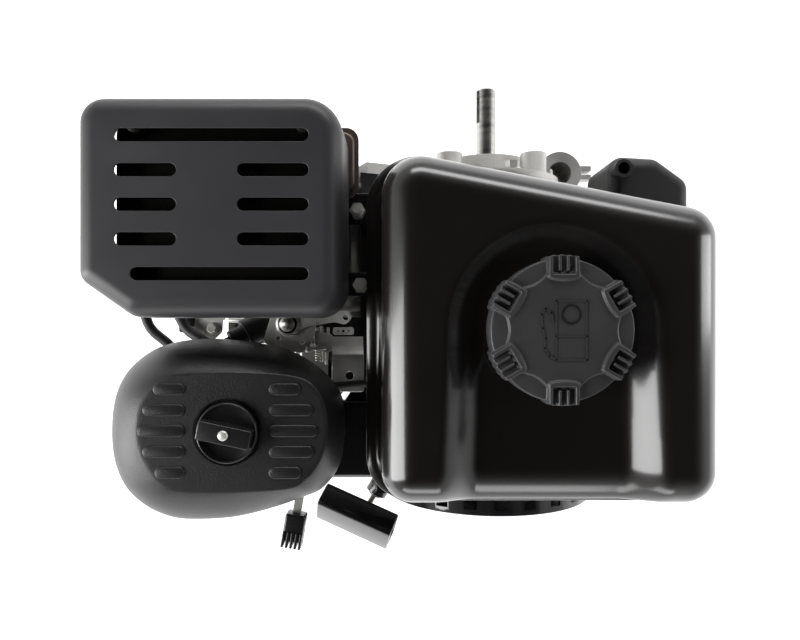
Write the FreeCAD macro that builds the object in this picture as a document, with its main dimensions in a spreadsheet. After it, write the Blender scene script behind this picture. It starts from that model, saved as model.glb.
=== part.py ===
import FreeCAD, Part
import math
import os
import re
import Sketcher
from FreeCAD import Placement, Rotation, Vector

# Small gasoline engine with a horizontal shaft, in millimetres.
# Origin: middle of the four base bolts, on the ground plane. +Z up, +Y along the output shaft,
# +X toward the fuel tank side. The cylinder leans over toward -X.

SIZES = {
    # crank train
    "crank_x": 15, "crank_z": 106, "lean": 65, "bore_radius": 34, "throw": 22.5,
    "rod_length": 84, "deck": 128, "journal_radius": 12.5, "output_radius": 7.9375,
    "output_tip": 140, "web_radius": 36, "web_in": 10.5, "web_out": 24,
    # timing gears and valve train, in the leaned frame of the cylinder
    "cam_x": -44, "cam_z": 31.3, "gear_low": 36, "gear_high": 44, "valve_x": 4,
    "valve_y": 14.5, "rocker_x": -20, "rocker_z": 176, "lobe_tip": 16.5,
    # crankcase
    "fan_wall": -62, "cover_joint": 56, "cover_face": 79, "foot_x": 81, "foot_y": 37.8,
    "foot_hole": 4.25, "bearing_radius": 26, "seal_radius": 20,
    # flywheel end
    "flywheel_radius": 78, "blower_radius": 100, "blower_front": -160, "recoil_radius": 82,
    "recoil_front": -188, "sheet": 1.5,
    # exhaust side
    "guard_left": -239, "guard_right": -88.5, "guard_front": -46.5, "guard_back": 76.5,
    "guard_low": 233, "guard_high": 283,
    # intake side
    "carb_x": -115.6, "carb_z": 171.3, "cleaner_low": 230, "cleaner_high": 275,
    "knob_x": -154, "knob_y": -114,
    # fuel tank
    "tank_left": -68, "tank_right": 122, "tank_front": -154, "tank_back_left": 49,
    "tank_back_right": 12, "tank_low": 215, "tank_seam": 237, "tank_high": 300,
    "cap_x": 27.6, "cap_y": -55.3, "cap_radius": 39,
}

GEAR_MODULE = 2.0
CRANK_TEETH = 18
CAM_TEETH = 36

doc = FreeCAD.newDocument("gasoline_engine")
sheet = doc.addObject("Spreadsheet::Sheet", "sizes")
for row, (alias, number) in enumerate(SIZES.items(), start=1):
    sheet.set(f"A{row}", alias.replace("_", " "))
    sheet.set(f"B{row}", str(number))
    sheet.setAlias(f"B{row}", alias)
doc.recompute()

nodes = []


# ---------------------------------------------------------------- helpers

def bound(value):
    """Turn a number, or a formula in the sheet's own words, into an expression."""
    def with_sheet(word):
        return "sizes." + word.group() if word.group() in SIZES else word.group()
    return re.sub(r"[a-z_]+", with_sheet, str(value))


def size(value):
    """The present value of a formula."""
    return float(sheet.evalExpression(bound(value)))


def minus(high, low):
    return f"({high}) - ({low})"


def place(item, x=0, y=0, z=0, axis=(0, 0, 1), angle=0):
    """Turn an object about one axis and bind its position."""
    item.Placement = Placement(Vector(0, 0, 0), Rotation(Vector(*axis), angle))
    for letter, value in zip("xyz", (x, y, z)):
        item.setExpression("Placement.Base." + letter, bound(value))
    return item


def box(x_low, x_high, y_low, y_high, z_low, z_high):
    item = doc.addObject("Part::Box", "box")
    item.setExpression("Length", bound(minus(x_high, x_low)))
    item.setExpression("Width", bound(minus(y_high, y_low)))
    item.setExpression("Height", bound(minus(z_high, z_low)))
    return place(item, x_low, y_low, z_low)


def disc(radius, low, high, x=0, y=0, z=0, along="z"):
    """A cylinder from low to high along one axis."""
    item = doc.addObject("Part::Cylinder", "disc")
    item.setExpression("Radius", bound(radius))
    item.setExpression("Height", bound(minus(high, low)))
    if along == "x":
        return place(item, low, y, z, (0, 1, 0), 90)
    if along == "y":
        return place(item, x, low, z, (1, 0, 0), -90)
    return place(item, x, y, low)


def cone(radius_low, radius_high, low, high, x=0, y=0, z=0, along="z"):
    item = doc.addObject("Part::Cone", "cone")
    item.setExpression("Radius1", bound(radius_low))
    item.setExpression("Radius2", bound(radius_high))
    item.setExpression("Height", bound(minus(high, low)))
    if along == "y":
        return place(item, x, low, z, (1, 0, 0), -90)
    return place(item, x, y, low)


def fuse(*items):
    if len(items) == 1:
        return items[0]
    item = doc.addObject("Part::MultiFuse", "fusion")
    item.Shapes = list(items)
    return item


def cut(base, *tools):
    item = doc.addObject("Part::Cut", "cut")
    item.Base = base
    item.Tool = fuse(*tools)
    return item


def common(first, second):
    item = doc.addObject("Part::Common", "common")
    item.Base = first
    item.Tool = second
    return item


def tube(outer, inner, low, high, x=0, y=0, z=0, along="z"):
    return cut(disc(outer, low, high, x, y, z, along), disc(inner, low, high, x, y, z, along))


def on_crank(radius, low, high):
    """A disc about the crank axis."""
    return disc(radius, low, high, x="crank_x", z="crank_z", along="y")


def crank_ring(outer, inner, low, high):
    return tube(outer, inner, low, high, x="crank_x", z="crank_z", along="y")


def across(x, z):
    """Engine X of a point given in the cylinder's own leaned frame."""
    return f"crank_x + ({x}) * cos(lean * 1 deg) - ({z}) * sin(lean * 1 deg)"


def up(x, z):
    """Engine Z of a point given in the cylinder's own leaned frame."""
    return f"crank_z + ({x}) * sin(lean * 1 deg) + ({z}) * cos(lean * 1 deg)"


def leaned(item):
    """Move an object from the cylinder's own frame, where +Z is the bore axis."""
    return place(item, "crank_x", 0, "crank_z", (0, 1, 0), -SIZES["lean"])


def feature(shape, name="shape"):
    item = doc.addObject("Part::Feature", name)
    item.Shape = shape
    return item


def node(item, name):
    """Name a finished sub-part; the name is also its file name."""
    item.Label = name
    nodes.append(item)
    return item


def outline_sketch(body, plane, points, offset):
    """A closed outline of straight lines, every corner held by two bound distances."""
    sketch = body.newObject("Sketcher::SketchObject", "outline")
    origin_plane = [item for item in body.Origin.OriginFeatures if item.Role == plane][0]
    sketch.AttachmentSupport = [(origin_plane, "")]
    sketch.MapMode = "FlatFace"
    sketch.setExpression("AttachmentOffset.Base.z", bound(offset))
    corners = [Vector(size(x), size(y), 0) for x, y in points]
    count = len(corners)
    for index in range(count):
        sketch.addGeometry(Part.LineSegment(corners[index], corners[(index + 1) % count]))
    for index in range(count):
        sketch.addConstraint(Sketcher.Constraint("Coincident", index, 2, (index + 1) % count, 1))
    for index, (x, y) in enumerate(points):
        for kind, value in (("DistanceX", x), ("DistanceY", y)):
            number = sketch.addConstraint(Sketcher.Constraint(kind, -1, 1, index, 1, size(value)))
            sketch.setExpression(f"Constraints[{number}]", bound(value))
    return sketch


def slab(points, low, high, corner=0, top=0):
    """A body padded up from an outline in plan, with rounded corners and top edge."""
    body = doc.addObject("PartDesign::Body", "slab")
    sketch = outline_sketch(body, "XY_Plane", points, low)
    pad = body.newObject("PartDesign::Pad", "pad")
    pad.Profile = sketch
    pad.setExpression("Length", bound(minus(high, low)))
    body.Tip = pad
    doc.recompute()
    last = pad
    if corner:
        last = round_edges(body, last, corner, is_upright)
    if top:
        round_edges(body, last, top, lambda edge: edge.BoundBox.ZMin > size(high) - 0.01)
    return body


def is_upright(edge):
    return edge.BoundBox.ZLength > 1 and edge.BoundBox.XLength + edge.BoundBox.YLength < 0.01


def round_edges(body, base, radius, wanted):
    names = [f"Edge{index + 1}" for index, edge in enumerate(base.Shape.Edges) if wanted(edge)]
    fillet = body.newObject("PartDesign::Fillet", "rounding")
    fillet.Base = (base, names)
    fillet.setExpression("Radius", bound(radius))
    body.Tip = fillet
    doc.recompute()
    return fillet


def rounded_path(points, largest):
    """A wire of straight runs joined by tangent arcs, each as wide as its runs allow."""
    points = [Vector(*point) for point in points]
    edges = []
    start = points[0]
    for before, corner, after in zip(points, points[1:], points[2:]):
        back = (before - corner).normalize()
        ahead = (after - corner).normalize()
        half = back.getAngle(ahead) / 2
        shorter = min((before - corner).Length, (after - corner).Length)
        radius = min(largest, 0.45 * shorter * math.tan(half))
        reach = radius / math.tan(half)
        middle_way = (back + ahead).normalize()
        arc_start = corner + back * reach
        arc_end = corner + ahead * reach
        arc_middle = corner + middle_way * (radius / math.sin(half) - radius)
        edges.append(Part.LineSegment(start, arc_start).toShape())
        edges.append(Part.Arc(arc_start, arc_middle, arc_end).toShape())
        start = arc_end
    edges.append(Part.LineSegment(start, points[-1]).toShape())
    return Part.Wire(edges)


def cord(points, bend, radius, name):
    """A round cord or hose along a rounded path."""
    path = rounded_path(points, bend)
    heading = Vector(*points[1]) - Vector(*points[0])
    ring = Part.Wire(Part.Circle(Vector(*points[0]), heading, radius).toShape())
    return feature(path.makePipeShell([ring], True, False), name)


def involute_gear(teeth, low, high, x, z, first_angle):
    """A spur gear lying across the Y axis, one tooth centred on first_angle."""
    pitch = GEAR_MODULE * teeth / 2
    base = pitch * math.cos(math.radians(20))
    tip = pitch + 0.95 * GEAR_MODULE
    root = pitch - 1.2 * GEAR_MODULE
    slack = 0.12 / pitch
    unwind = math.tan(math.radians(20)) - math.radians(20)
    half_tooth = math.pi / (2 * teeth) + unwind - slack
    start = max(root, base)
    flank = []
    for step in range(5):
        radius = start + (tip - start) * step / 4
        turn = math.acos(min(1, base / radius))
        flank.append((radius, half_tooth - (math.tan(turn) - turn)))
    side = [(root, flank[0][1])] + flank if root < start else flank
    corners = []
    for tooth in range(teeth):
        centre = first_angle + 2 * math.pi * tooth / teeth
        corners += [(radius, centre - angle) for radius, angle in side]
        corners += [(radius, centre + angle) for radius, angle in reversed(side)]
    points = [Vector(size(x) + radius * math.cos(angle), size(low), size(z) + radius * math.sin(angle))
              for radius, angle in corners]
    points.append(points[0])
    face = Part.Face(Part.makePolygon(points))
    return feature(face.extrude(Vector(0, size(high) - size(low), 0)), "gear")


def hexagon(across, low, high, x=0, y=0, z=0, along="z"):
    """A hexagonal prism, for bolt heads and nuts."""
    item = doc.addObject("Part::Prism", "hexagon")
    item.Polygon = 6
    item.setExpression("Circumradius", bound(f"({across}) / 1.732"))
    item.setExpression("Height", bound(minus(high, low)))
    if along == "y":
        return place(item, x, low, z, (1, 0, 0), -90)
    if along == "x":
        return place(item, low, y, z, (0, 1, 0), 90)
    return place(item, x, y, low)


# ---------------------------------------------------------------- crankcase

HEAD_BOLTS = [(-36, -39), (-36, 39), (38, -39), (38, 39)]
COVER_BOLTS = [(28.5, 156), (59.5, 127.5), (73, 45), (-5, 15), (-76, 63), (-62, 115)]
PTO_REACH = round(46.05 / 2 ** 0.5, 4)
PTO_HOLES = [(f"crank_x + {side * PTO_REACH}", f"crank_z + {rise * PTO_REACH}")
             for side in (-1, 1) for rise in (-1, 1)]
FILLER_X = 75.3
FILLER_Y = 70.6
VALVE_SIDES = ["-valve_y", "valve_y"]


def on_cam(radius, low, high):
    """A disc about the camshaft axis."""
    return disc(radius, low, high, x=across("cam_x", "cam_z"), z=up("cam_x", "cam_z"), along="y")


def case_outline(low, high):
    """The outline shared by the crankcase and its side cover."""
    return [on_crank(58, low, high), on_cam(52, low, high), box(-84, 78, low, high, 10, 100)]


def barrel():
    """The finned cylinder barrel with its pushrod tunnel and head bolt bosses."""
    solids = [disc(40, 40, "deck"), box(-53, -36, -24, 24, 48, "deck"),
              box(-54, 46, -48, 48, minus("deck", 6), "deck")]
    for level in range(66, 121, 8):
        solids.append(box(-52, 46, -48, 48, level, level + 2.5))
    for x, y in HEAD_BOLTS:
        solids.append(disc(7, 62, "deck", x, y))
    solids.append(box(22, 46, 40, 58, 104, 125))
    return leaned(fuse(*solids))


def barrel_holes():
    holes = [disc("bore_radius + 0.05", 0, minus("deck", -1)), box(-38, 38, -10.6, 10.6, 0, 37)]
    for side in VALVE_SIDES:
        holes.append(disc(4.05, 40, minus("deck", -1), "cam_x", side))
        holes.append(disc(10, 40, 58, "cam_x", side))
    for x, y in HEAD_BOLTS:
        holes.append(disc(4, 90, minus("deck", -1), x, y))
    return leaned(fuse(*holes))


def make_crankcase():
    solids = case_outline("fan_wall", "cover_joint")
    solids.append(box(-95, 95, -50, 50, 0, 12))
    solids.append(on_crank(34, minus("fan_wall", 10), "fan_wall"))
    solids.append(on_crank(88, "fan_wall", "fan_wall + 5"))
    solids.append(box(8, 22, -78, -58, 150, 197))
    solids.append(box(-5, 35, -32, 36, 140, 168))
    solids.append(barrel())
    holes = [on_crank(45, -50, 57), box(-74, 68, -50, 57, 20, 62)]
    holes.append(on_crank(52, -14, 14))
    holes.append(on_cam(42, 34.5, 57))
    holes.append(on_cam(22, -50, 35))
    holes.append(on_crank("bearing_radius + 0.05", "fan_wall", -49))
    holes.append(on_crank("seal_radius + 0.05", "fan_wall - 11", "fan_wall"))
    holes.append(on_cam(7.05, -58, -49))
    holes.append(barrel_holes())
    for x in ("-foot_x", "foot_x"):
        for y in ("-foot_y", "foot_y"):
            holes.append(disc("foot_hole", -1, 13, x, y))
    for x, z in COVER_BOLTS:
        holes.append(disc(3.05, 38, 57, x, 0, z, "y"))
    node(cut(fuse(*solids), *holes), "crankcase")


def make_crankcase_cover():
    solids = case_outline("cover_joint", "cover_joint + 7")
    solids.append(on_crank(34, "cover_joint + 7", "cover_face"))
    solids.append(disc(17.5, 62, 110, FILLER_X, FILLER_Y))
    solids.append(box(57.5, 78, 57, FILLER_Y, 62, 100))
    for y in (FILLER_Y - 5, FILLER_Y + 2):
        solids.append(box(90, 101, y, y + 4, 97, 109))
    holes = [on_crank("bearing_radius + 0.05", "cover_joint - 1", "cover_joint + 13.2")]
    holes.append(on_crank("seal_radius + 0.05", "cover_joint", "cover_face + 1"))
    holes.append(disc(9.3, 72, 111, FILLER_X, FILLER_Y))
    holes.append(disc(9.8, 110, 140, FILLER_X, FILLER_Y))
    holes.append(box(50, 100, 45, "cover_joint", 55, 115))
    holes.append(on_cam(7.05, "cover_joint - 1", "cover_joint + 6"))
    for x, z in PTO_HOLES:
        solids.append(disc(10, "cover_joint + 7", "cover_face", x, 0, z, "y"))
        holes.append(disc(3.45, "cover_face - 20", "cover_face + 1", x, 0, z, "y"))
    for x, z in COVER_BOLTS:
        holes.append(disc(3.3, "cover_joint - 1", "cover_joint + 8", x, 0, z, "y"))
    node(cut(fuse(*solids), *holes), "crankcase_cover")


def make_cover_bolts():
    bolts = []
    for x, z in COVER_BOLTS:
        bolts.append(disc(3, 40, "cover_joint + 7", x, 0, z, "y"))
        bolts.append(disc(6.2, "cover_joint + 7", "cover_joint + 8.2", x, 0, z, "y"))
        bolts.append(hexagon(10, "cover_joint + 8.2", "cover_joint + 13", x, 0, z, "y"))
    node(fuse(*bolts), "cover_bolts")


# ---------------------------------------------------------------- crank train

def mesh_angle():
    """Direction from the crank axis to the camshaft axis in the leaned frame."""
    return math.atan2(SIZES["cam_z"], SIZES["cam_x"])


def make_crankshaft():
    solids = [disc("web_radius", "web_in", "web_out", along="y"),
              disc("web_radius", "-web_out", "-web_in", along="y"),
              disc("journal_radius", "web_out", "cover_face + 0.5", along="y"),
              disc("journal_radius", "-72.5", "-web_out", along="y"),
              disc("output_radius", "cover_face", "output_tip - 1.5", along="y"),
              cone("output_radius", "output_radius - 1.5", "output_tip - 1.5", "output_tip", along="y"),
              disc(10, -100, -72, along="y"), disc(7, -122, -100, along="y"),
              involute_gear(CRANK_TEETH, "gear_low", "gear_high", 0, 0, mesh_angle())]
    keyway = box(-2.4, 2.4, 112, 142, 5.6, 9)
    node(leaned(cut(fuse(*solids), keyway)), "crankshaft")


def make_crank_pin():
    node(disc(14, "0.2 - web_in", "web_in - 0.2", x=across(0, "throw"), z=up(0, "throw"), along="y"),
         "crank_pin")


def make_connecting_rod():
    small_end = "throw + rod_length"
    solids = [disc(21, -9, 9, z="throw", along="y"), disc(12, -9, 9, z=small_end, along="y"),
              box(-7, 7, -4.5, 4.5, "throw + 15", "throw + rod_length - 9"),
              box(-24, 24, -8, 8, "throw", "throw + 9")]
    waist = [box(-4, 4, -5, -2, "throw + 26", "throw + rod_length - 16"),
             box(-4, 4, 2, 5, "throw + 26", "throw + rod_length - 16")]
    holes = [disc(14.03, -10, 10, z="throw", along="y"), disc(8.03, -10, 10, z=small_end, along="y"),
             box(-30, 30, -11, 11, "throw - 30", "throw")]
    holes += waist
    node(leaned(cut(fuse(*solids), *holes)), "connecting_rod")


def make_rod_cap():
    solids = [disc(21, -9, 9, z="throw", along="y"), box(-24, 24, -8, 8, "throw - 9", "throw"),
              disc(4.5, "throw - 12", "throw - 9", -19, 0), disc(4.5, "throw - 12", "throw - 9", 19, 0)]
    holes = [disc(14.03, -10, 10, z="throw", along="y"),
             box(-30, 30, -11, 11, "throw", "throw + 30")]
    node(leaned(cut(fuse(*solids), *holes)), "rod_cap")


RING_LEVELS = [(123.2, 1.5), (119.8, 1.5), (115.4, 2.6)]


def make_piston():
    shell = cut(disc("bore_radius - 0.05", 89.5, 126.5), disc("bore_radius - 4.5", 85, 108.5),
                disc("bore_radius - 6", 85, 119.5))
    bosses = cut(common(box(-12, 12, -33, 33, 94, 121), disc("bore_radius - 1", 89.5, 122)),
                 box(-13, 13, -9.5, 9.5, 90, 119.5))
    holes = [disc(8.02, -40, 40, z="throw + rod_length", along="y")]
    for level, thick in RING_LEVELS:
        holes.append(tube("bore_radius + 1", "bore_radius - 3.2", level, level + thick))
    node(leaned(cut(fuse(shell, bosses), *holes)), "piston")


def make_piston_rings():
    rings = []
    for level, thick in RING_LEVELS:
        rings.append(tube("bore_radius", "bore_radius - 3", level + 0.05, level + thick - 0.05))
    gap = box(28, 36, -0.2, 0.2, 100, 126)
    node(leaned(cut(fuse(*rings), gap)), "piston_rings")


def make_piston_pin():
    node(leaned(tube(8, 4.5, -31, 31, z="throw + rod_length", along="y")), "piston_pin")


def ball_bearing(low, high):
    """Outer ring, inner ring and balls, joined by the cage as one piece."""
    middle = f"(({low}) + ({high})) / 2"
    parts = [crank_ring("bearing_radius", 23, low, high),
             crank_ring(15.5, "journal_radius + 0.04", low, high),
             crank_ring(23.2, 15.2, minus(middle, 2), minus(middle, -2))]
    return fuse(*parts)


def make_main_bearings():
    node(fuse(ball_bearing("cover_joint + 1", "cover_joint + 13"), ball_bearing(-61.9, -50)),
         "main_bearings")


def make_oil_seals():
    front = crank_ring("seal_radius", "journal_radius + 0.05", "fan_wall - 9.5", "fan_wall - 2")
    back = crank_ring("seal_radius", "journal_radius + 0.05", "cover_face - 7", "cover_face - 0.5")
    node(fuse(front, back), "oil_seals")


def cam_lobe(side, angle):
    """A cam lobe: a base circle with a smaller circle standing out from it."""
    reach = SIZES["lobe_tip"] - 5
    x = f"cam_x + {reach * math.cos(math.radians(angle)):.3f}"
    z = f"cam_z + {reach * math.sin(math.radians(angle)):.3f}"
    x_half = f"cam_x + {reach / 2 * math.cos(math.radians(angle)):.3f}"
    z_half = f"cam_z + {reach / 2 * math.sin(math.radians(angle)):.3f}"
    low, high = minus(side, 4), minus(side, -4)
    return [disc(11, low, high, x="cam_x", z="cam_z", along="y"),
            disc(5, low, high, x=x, z=z, along="y"), disc(8.5, low, high, x=x_half, z=z_half, along="y")]


def make_camshaft():
    solids = [disc(7, -57.5, "cover_joint + 5.5", x="cam_x", z="cam_z", along="y"),
              involute_gear(CAM_TEETH, "gear_low", "gear_high", "cam_x", "cam_z",
                            mesh_angle() + math.pi + math.pi / CAM_TEETH)]
    solids += cam_lobe("-valve_y", 200) + cam_lobe("valve_y", 310)
    lightening = [disc(7, "gear_low - 1", "gear_high + 1", x=f"cam_x + {22 * math.cos(step):.3f}",
                       z=f"cam_z + {22 * math.sin(step):.3f}", along="y")
                  for step in (0.4, 0.4 + 2.094, 0.4 + 4.189)]
    node(leaned(cut(fuse(*solids), *lightening)), "camshaft")


# ---------------------------------------------------------------- valve train

TAPPET_FOOT = "cam_z + lobe_tip + 0.4"


def make_valve_gear(kind, side):
    """Tappet, pushrod, valve, spring and rocker of one valve."""
    tappet = fuse(disc(9, TAPPET_FOOT, TAPPET_FOOT + " + 3", "cam_x", side),
                  disc(4, TAPPET_FOOT + " + 3", 78, "cam_x", side))
    node(leaned(tappet), kind + "_tappet")
    node(leaned(fuse(disc(3, 78.05, 170, "cam_x", side), cone(3, 1.8, 170, 171.9, "cam_x", side))),
         kind + "_pushrod")
    head = 12.5 if kind == "intake" else 11.5
    valve = [disc(head, 133.2, 134.2, "valve_x", side), cone(head, 2.75, 134.2, 138, "valve_x", side),
             disc(2.75, 138, 171.7, "valve_x", side), disc(9, 168.6, 170.4, "valve_x", side)]
    seat_room = disc(head - 1.2, 135.9, 139, "valve_x", side)
    node(leaned(fuse(common(fuse(*valve[:2]), fuse(disc(20, 133, 135.9, "valve_x", side), seat_room)),
                     *valve[2:])), kind + "_valve")
    node(valve_spring(side), kind + "_spring")
    rocker = [disc(6, minus(side, 4.5), minus(side, -4.5), x="rocker_x", z="rocker_z", along="y"),
              box("cam_x", "valve_x", minus(side, 3.5), minus(side, -3.5), "rocker_z - 2", "rocker_z + 3"),
              disc(4, minus(side, 3.5), minus(side, -3.5), x="cam_x", z="rocker_z", along="y"),
              disc(4, minus(side, 3.5), minus(side, -3.5), x="valve_x", z="rocker_z", along="y")]
    bore = disc(3.05, minus(side, 6), minus(side, -6), x="rocker_x", z="rocker_z", along="y")
    node(leaned(cut(fuse(*rocker), bore)), kind + "_rocker")


def valve_spring(side):
    """A coil spring under the valve's collar."""
    foot = Vector(size("valve_x"), size(side), 158.6)
    helix = Part.makeHelix(2.9, 8.7, 7.0)
    helix.translate(foot)
    ring = Part.Wire(Part.Circle(foot + Vector(7.0, 0, 0), Vector(0, 1, 0), 1.1).toShape())
    return leaned(feature(Part.Wire(helix.Edges).makePipeShell([ring], True, True), "coil"))


def make_rocker_shaft():
    posts = [box(-26, -14, -6, 6, 164, "rocker_z + 5"), box(-26, -14, 20.5, 24, 164, "rocker_z + 5"),
             box(-26, -14, -24, -20.5, 164, "rocker_z + 5"),
             disc(3, -24, 24, x="rocker_x", z="rocker_z", along="y")]
    node(leaned(fuse(*posts)), "rocker_shaft")


# ---------------------------------------------------------------- cylinder head

PLUG_TILT = 26
PLUG_TIP = (20, -26, 134)


def on_plug(radius, low, high, six=False):
    """A cylinder, or a hexagon, on the tilted axis of the spark plug."""
    item = hexagon(radius, low, high) if six else disc(radius, low, high)
    lean = Rotation(Vector(0, 1, 0), -SIZES["lean"])
    turn = lean.multiply(Rotation(Vector(1, 0, 0), PLUG_TILT))
    seat = Vector(size("crank_x"), 0, size("crank_z")) + lean.multVec(Vector(*PLUG_TIP))
    for letter in "xyz":
        item.setExpression("Placement.Base." + letter, None)
    item.Placement = Placement(seat + turn.multVec(Vector(0, 0, low)), turn)
    return item


def make_cylinder_head():
    solids = [box(-54, 43, -48, 48, "deck + 1", "deck + 7"), box(-54, 30, -33, 33, "deck + 1", 164),
              box(-58, 24, -31, 31, 160, 164)]
    for level in (140, 147, 153):
        solids.append(box(-54, 43, -48, 48, level, level + 2.5))
    for x, y in HEAD_BOLTS:
        solids.append(disc(7, "deck + 1", 149.5, x, y))
    holes = [disc("bore_radius", "deck", "deck + 8")]
    for side, port, studs, boss in (("-valve_y", (-51, "-valve_y"), (-50, -38), (-50, -20)),
                                    ("valve_y", ("valve_y", 51), (38, 50), (20, 50))):
        solids.append(disc(15, *boss, x="valve_x", z=146, along="y"))
        holes.append(disc(9, *port, x="valve_x", z=146, along="y"))
        holes.append(disc(10.3, "deck + 7", 146, "valve_x", side))
        holes.append(disc(2.8, 146, 165, "valve_x", side))
        holes.append(disc(11.5, 157, 165, "valve_x", side))
        holes.append(disc(4.5, "deck", 165, "cam_x", side))
        for offset in (-19, 19):
            holes.append(disc(3, *studs, x=f"valve_x + {offset}", z=146, along="y"))
    for x, y in HEAD_BOLTS:
        holes.append(disc(4.2, "deck", 165, x, y))
        holes.append(disc(8, 149.5, 165, x, y))
    body = fuse(leaned(fuse(*solids)), on_plug(12, 6, 20))
    plug_holes = [on_plug(7.05, -12, 21), on_plug(10.6, 20, 60)]
    node(cut(body, leaned(fuse(*holes)), *plug_holes), "cylinder_head")


def make_head_gasket():
    holes = [disc("bore_radius + 0.5", 127, 130)]
    for side in VALVE_SIDES:
        holes.append(disc(4.5, 127, 130, "cam_x", side))
    for x, y in HEAD_BOLTS:
        holes.append(disc(4.2, 127, 130, x, y))
    node(leaned(cut(box(-54, 43, -48, 48, "deck", "deck + 1"), *holes)), "head_gasket")


def make_head_bolts():
    bolts = []
    for x, y in HEAD_BOLTS:
        bolts.append(disc(4, 92, 150, x, y))
        bolts.append(disc(7, 149.5, 151, x, y))
        bolts.append(hexagon(12, 151, 157, x, y))
    node(leaned(fuse(*bolts)), "head_bolts")


def make_valve_cover():
    outer = [box(-58, 24, -31, 31, 164, 167), box(-54.5, 20.5, -27.5, 27.5, 166, 192)]
    hollow = box(-52.5, 18.5, -25.5, 25.5, 163, 190)
    node(leaned(cut(fuse(*outer), hollow)), "valve_cover")


def make_spark_plug():
    solids = [on_plug(7, 3, 20), on_plug(16, 20, 30, six=True), on_plug(5.8, 29, 58), on_plug(3, 57, 68)]
    node(fuse(*solids), "spark_plug")


def make_spark_plug_boot():
    solids = [on_plug(9.5, 41, 76), on_plug(6.5, 76, 86)]
    holes = [on_plug(5.85, 39, 58.2), on_plug(3.1, 58, 68.5)]
    node(cut(fuse(*solids), *holes), "spark_plug_boot")


# ---------------------------------------------------------------- flywheel end

def spoke(radius_low, radius_high, low, high, thick, angle):
    """A flat blade standing out from the crank axis."""
    item = doc.addObject("Part::Box", "spoke")
    item.setExpression("Length", bound(minus(radius_high, radius_low)))
    item.setExpression("Width", bound(minus(high, low)))
    item.Height = thick
    turn = Rotation(Vector(0, 1, 0), angle)
    start = turn.multVec(Vector(size(radius_low), 0, -thick / 2))
    item.Placement = Placement(start + Vector(size("crank_x"), size(low), size("crank_z")), turn)
    return item


def around(count, first=0):
    return [first + 360 * index / count for index in range(count)]


def make_flywheel():
    solids = [crank_ring("flywheel_radius", 62, -98, -78), on_crank(64, -92, -84), on_crank(20, -100, -74)]
    hole = on_crank(10.02, -101, -73)
    node(cut(fuse(*solids), hole), "flywheel")


def make_cooling_fan():
    blades = [spoke(48, 85, -120, -100, 2.4, angle) for angle in around(14)]
    node(fuse(crank_ring(85, 33, -101, -98), *blades), "cooling_fan")


def make_starter_cup():
    cup = fuse(on_crank(31, -103, -100), crank_ring(31, 29, -140, -102))
    windows = [spoke(25, 35, -128, -112, 16, angle) for angle in around(3, 30)]
    node(cut(cup, on_crank(7.05, -104, -99), *windows), "starter_cup")


def make_flywheel_nut():
    node(cut(hexagon(22, -116, -103, "crank_x", 0, "crank_z", "y"), on_crank(7.02, -117, -102)),
         "flywheel_nut")


def make_ignition_coil():
    solids = [box(-8, 38, -98, -78, 185.6, 190), box(-4, 34, -97, -79, 190, 199)]
    node(cut(fuse(*solids), on_crank("flywheel_radius + 0.4", -99, -77)), "ignition_coil")


def make_blower_housing():
    shell = [crank_ring("blower_radius", "blower_radius - sheet", "blower_front", "fan_wall - 0.5"),
             crank_ring("blower_radius", 64, "blower_front", "blower_front + 2"),
             crank_ring("blower_radius", 94, "fan_wall - 2", "fan_wall")]
    duct = [(-109, "blower_front"), (0, "blower_front"), (0, -106), (-96.5, -106), (-96.5, -128),
            (-109, -128)]
    air_way = [(-107, "blower_front + 2"), (1, "blower_front + 2"), (1, -105), (-94.5, -105), (-94.5, -126),
               (-107, -126)]
    shell.append(cut(slab(duct, 112, 193, top=4), slab(air_way, 114, 191),
                     on_crank("blower_radius - sheet", -162, -104)))
    lead_hole = disc(4.2, 180, 215, -28, -88)
    node(cut(fuse(*shell), lead_hole), "blower_housing")


PULL_ANGLE = 239
ROPE_HEIGHT = 155
ROPE_GATE = Vector(-66, -166, ROPE_HEIGHT)
GRIP_REACH = 31
PULL = Vector(math.cos(math.radians(PULL_ANGLE)), math.sin(math.radians(PULL_ANGLE)), 0)


def along_pull(radius, low, high):
    """A cylinder on the straight line the starter rope is pulled along."""
    item = doc.addObject("Part::Cylinder", "pull")
    item.Radius = radius
    item.Height = high - low
    item.Placement = Placement(ROPE_GATE + PULL * low, Rotation(Vector(0, 0, 1), PULL))
    return item


def make_recoil_housing():
    shell = [crank_ring("recoil_radius", "recoil_radius - 2", "recoil_front", "blower_front"),
             on_crank("recoil_radius", "recoil_front", "recoil_front + 2"),
             crank_ring("recoil_radius + 8", "recoil_radius - 2", "blower_front - 2", "blower_front"),
             on_crank(8, "recoil_front", -164),
             box(-73, -45, -178, "blower_front", 146, 164), along_pull(8, 6, 16)]
    windows = [spoke("recoil_radius - 6", "recoil_radius + 6", -184, -166, 9, angle)
               for angle in around(24) if abs(angle - 215) > 16]
    fronts = [spoke(24, 60, "recoil_front - 1", "recoil_front + 1", 7, angle) for angle in around(12)]
    rope_way = [along_pull(3, -8, 20), box(-68, -40, -176, -162, 150, 162),
                on_crank("recoil_radius - 2", "recoil_front + 2", "blower_front")]
    keep = on_crank(8, "recoil_front", -164)
    node(fuse(cut(fuse(*shell), *windows, *fronts, *rope_way), keep), "recoil_housing")


def make_recoil_pulley():
    disc_body = [on_crank(62, -177, -175), on_crank(58, -176, -165), on_crank(62, -166, -164),
                 on_crank(24, -165, -150)]
    node(cut(fuse(*disc_body), on_crank(8.06, -178, -149)), "recoil_pulley")


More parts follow.
